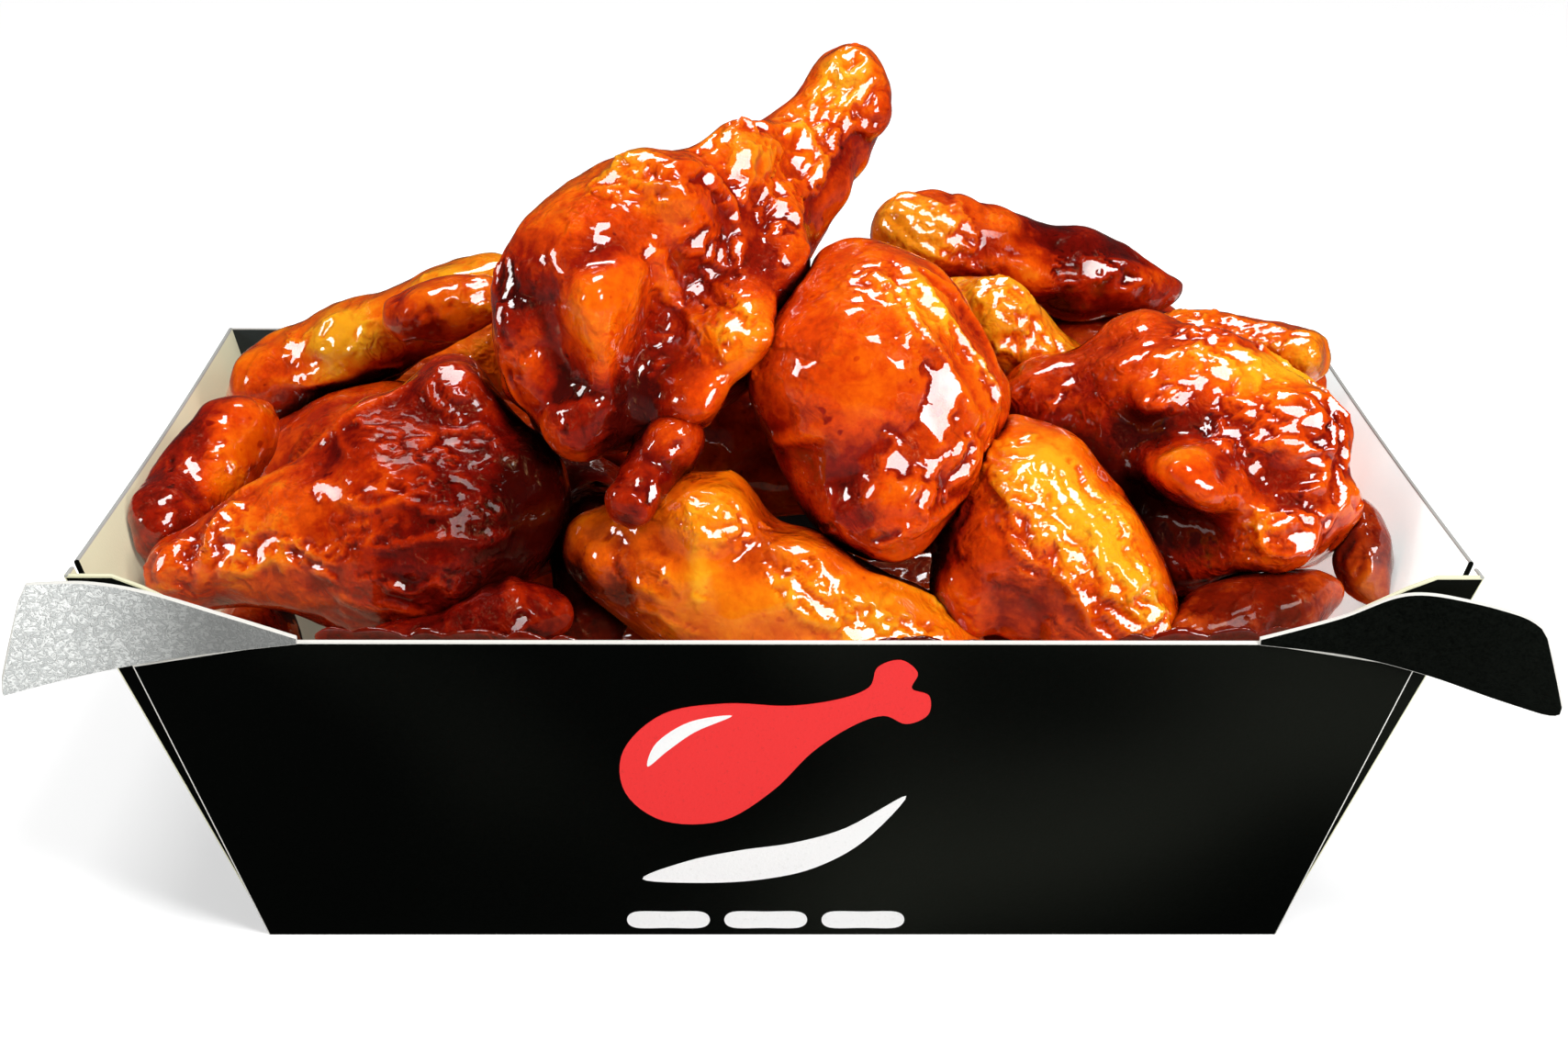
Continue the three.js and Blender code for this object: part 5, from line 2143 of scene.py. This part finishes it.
LEG_EDGE = (
    (-20, 7), (-12, 10.5), (-3, 8.5), (5, 4.5), (12, 2.6), (17, 2.7), (19.5, 5.4), (23, 5.2), (24.4, 2.2),
)
DRUMSTICK = ((-23, 0), *LEG_EDGE, (22.6, 0), *mirrored(LEG_EDGE))
GLEAM = ((-18, 3), (-15, 6.3), (-9, 7.7), (-3, 6.2), (-9, 5.8), (-14, 4.4))
WAVE = (
    (-20, -3.4), (-13, -0.4), (-5, 1.2), (3, 2.2), (11, 4.6),
    (20, 10), (13.5, 2), (6, -2.6), (-2, -4.4), (-11, -4.6),
)
DASH_EDGE = ((-5, 1.5), (0, 1.55), (5, 1.5))
DASH = (*DASH_EDGE, (6.3, 0), *mirrored(DASH_EDGE), (-6.3, 0))
DASHES_ACROSS = (-16, -1.2, 13.6)
PRINTS: tuple[Print, ...] = (
    Print("print_drumstick", RED_INK, DRUMSTICK, (-1, 36.5), 24),
    Print("print_gleam", WHITE_INK, GLEAM, (-1, 36.5), 24, proud=0.16),
    Print("print_wave", WHITE_INK, WAVE, (0, 15.5), 3),
    *(
        Print(f"print_dash_{number}", WHITE_INK, DASH, (place, 3.2))
        for number, place in enumerate(DASHES_ACROSS)
    ),
)


@dataclass(frozen=True)
class Sauce:
    """Glaze that has run out from under the wings and laps against the board."""

    VOXEL = 0.0004
    EVEN = 4
    RUN_GRAIN = 0.0035
    RUN_HEIGHT = 0.001

    name: str
    glaze: Glaze
    tone: float
    drops: tuple[tuple[Point, Point], ...]  # middles and half sizes, in mm

    def build(self, tray: Tray) -> Piece:
        """Runs the drops together into one wet pool inside the tray.

        Args:
            tray: holds the pool in.

        Returns:
            The finished piece.
        """
        drops = []
        for middle, size in self.drops:
            deselect_all()
            place = [value * MM for value in middle]
            bpy.ops.mesh.primitive_uv_sphere_add(
                segments=32, ring_count=16, radius=MM, location=place, scale=size)
            drops.append(bpy.context.object)
            settle(drops[-1])
        piece = join(drops, self.name)
        apply_modifier(piece, "REMESH", mode="VOXEL", voxel_size=self.VOXEL)
        Skin(piece).even_out(self.EVEN)
        texture = grain_texture("run", self.RUN_GRAIN)
        apply_modifier(piece, "DISPLACE", texture=texture, texture_coords="LOCAL",
                       strength=self.RUN_HEIGHT, mid_level=0.5)
        skin = Skin(piece)
        tray.contain(skin)
        skin.store("tone", np.full(skin.count, self.tone))
        skin.store("shade", np.zeros(skin.count))
        self.glaze.hand_over(piece)
        return piece


POOLS: tuple[Sauce, ...] = (
    Sauce("sauce_left_rim", DARK, 0.42, (
        ((-63, -65.4, 53.6), (3, 0.9, 1.6)), ((-57, -65.0, 52.4), (5, 1.0, 2.6)),
        ((-50, -64.6, 51.2), (4, 1.0, 3.4)), ((-43, -64.8, 51.8), (6, 1.1, 2.6)),
        ((-36, -64.4, 50.4), (4, 1.1, 3.8)), ((-30, -64.6, 51.2), (3, 0.9, 2.4)),
        ((-49, -63.6, 47.0), (1.6, 0.9, 5)), ((-37, -63.0, 45.0), (1.3, 0.9, 5.5)),
    )),
    Sauce("sauce_middle_rim", DARK, 0.3, (
        ((16, -64.2, 50.6), (3, 1.0, 2.6)), ((21, -64.6, 51.4), (4, 1.0, 2.0)),
        ((27, -64.4, 51.2), (4, 0.9, 1.8)),
    )),
    Sauce("sauce_right_rim", DARK, 0.42, (
        ((51, -64.8, 51.4), (4, 1.0, 2.4)), ((58, -64.6, 51.6), (5, 1.1, 3.4)),
        ((66, -65.0, 52.6), (4, 1.1, 2.6)), ((72, -65.6, 54.0), (3, 0.8, 1.4)),
        ((59, -63.4, 46.5), (1.5, 0.9, 4.5)),
    )),
    Sauce("sauce_right_wall", AMBER, 0.6, (
        ((93.4, 2, 50), (0.7, 2.2, 2.6)), ((93.9, 4, 52), (0.6, 1.2, 1.8)), ((92.2, -6, 46), (0.7, 1.4, 1.2)),
    )),
)


# ---- the studio ----


@dataclass
class Studio:
    """Camera, soft lights, pale floor and a plain pale surround."""

    lens: float = 67.66  # mm
    sensor: float = 36  # mm
    turn: float = -0.64  # degrees
    roll: float = -0.3  # degrees
    floor_size: float = 6.0
    seen_as: float = 1.0  # how pale the surround looks
    lit_by: float = 0.03  # and how bright it is as a light

    def build(self) -> None:
        """Sets up the whole studio."""
        self._camera()
        self._floor()
        self._surround()
        for light in (*SUNS, *LAMPS):
            light.build()
        bpy.context.scene.view_settings.view_transform = "Standard"

    def _camera(self) -> None:
        """Places the camera in front of the tray and a little above it."""
        lens = bpy.data.cameras.new("camera")
        lens.lens = self.lens
        lens.sensor_width = self.sensor
        lens.clip_start = 0.01
        camera = add_object("camera", lens)
        camera.location = EYE
        camera.rotation_euler = (math.pi / 2 - TILT, math.radians(self.roll), math.radians(self.turn))
        bpy.context.scene.camera = camera

    def _floor(self) -> None:
        """Lays the pale floor under the tray."""
        deselect_all()
        bpy.ops.mesh.primitive_plane_add(size=self.floor_size, location=(0, 0, 0))
        floor = name_piece(bpy.context.object, "floor")
        Floor("floor_paper").put_on(floor)
        settle(floor)

    def _surround(self) -> None:
        """Pale to the eye, dimmer as a light, so that the glaze keeps its depth."""
        world = bpy.data.worlds.new("surround")
        bpy.context.scene.world = world
        world.use_nodes = True
        nodes = Nodes(world.node_tree)
        world.node_tree.nodes.clear()
        choice = nodes.add("ShaderNodeMixShader")
        nodes.link(nodes.add("ShaderNodeLightPath").outputs["Is Camera Ray"], choice.inputs[0])
        for index, level in ((1, self.lit_by), (2, self.seen_as)):
            background = nodes.add("ShaderNodeBackground")
            background.inputs["Color"].default_value = (level, level, level, 1)
            nodes.link(background.outputs[0], choice.inputs[index])
        nodes.link(choice.outputs[0], nodes.add("ShaderNodeOutputWorld").inputs["Surface"])


@dataclass(frozen=True)
class Floor(Finish):
    """Plain pale paper."""

    CLOUD_SIZE = 0.4
    DARK, LIGHT, MIRRORED = ((value, value, value) for value in (0.86, 0.9, 0.12))
    SEEN_GLOW = 0.42  # how much brighter it is to the eye

    name: str

    def dress(self, nodes: Nodes, shader: Sockets, place: Socket) -> None:
        """Barely clouded off-white, brighter to the eye and dim in the glaze."""
        path = nodes.add("ShaderNodeLightPath").outputs
        paper = nodes.mix(nodes.noise(place, self.CLOUD_SIZE), self.DARK, self.LIGHT)
        nodes.link(nodes.mix(path["Is Glossy Ray"], paper, self.MIRRORED), shader["Base Color"])
        shader["Emission Color"].default_value = (1, 1, 1, 1)
        glow = nodes.math("MULTIPLY", path["Is Camera Ray"], self.SEEN_GLOW)
        nodes.link(glow, shader["Emission Strength"])
        shader["Roughness"].default_value = 0.9
        shader["Specular IOR Level"].default_value = 0.1


# ---- everything in order ----


def report(piece: Piece) -> None:
    """Reports a finished piece and how many triangles it has."""
    LOG.info("%s: %d triangles", piece.name, sum(len(face.vertices) - 2 for face in piece.data.polygons))


def main() -> None:
    """Builds the tray, the wings, the print, the sauce and the studio in order."""
    logging.basicConfig(level=logging.INFO, format="%(message)s")
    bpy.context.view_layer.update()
    tray = Tray()
    tray.build()
    for piece in tray.pieces:
        report(piece)
    crowd = Crowd([wing.node for wing in WINGS])
    for wing in WINGS:
        report(wing.build(crowd, tray))
    for extra in (*PRINTS, *POOLS):
        report(extra.build(tray))
    Studio().build()


if __name__ == "__main__":
    main()
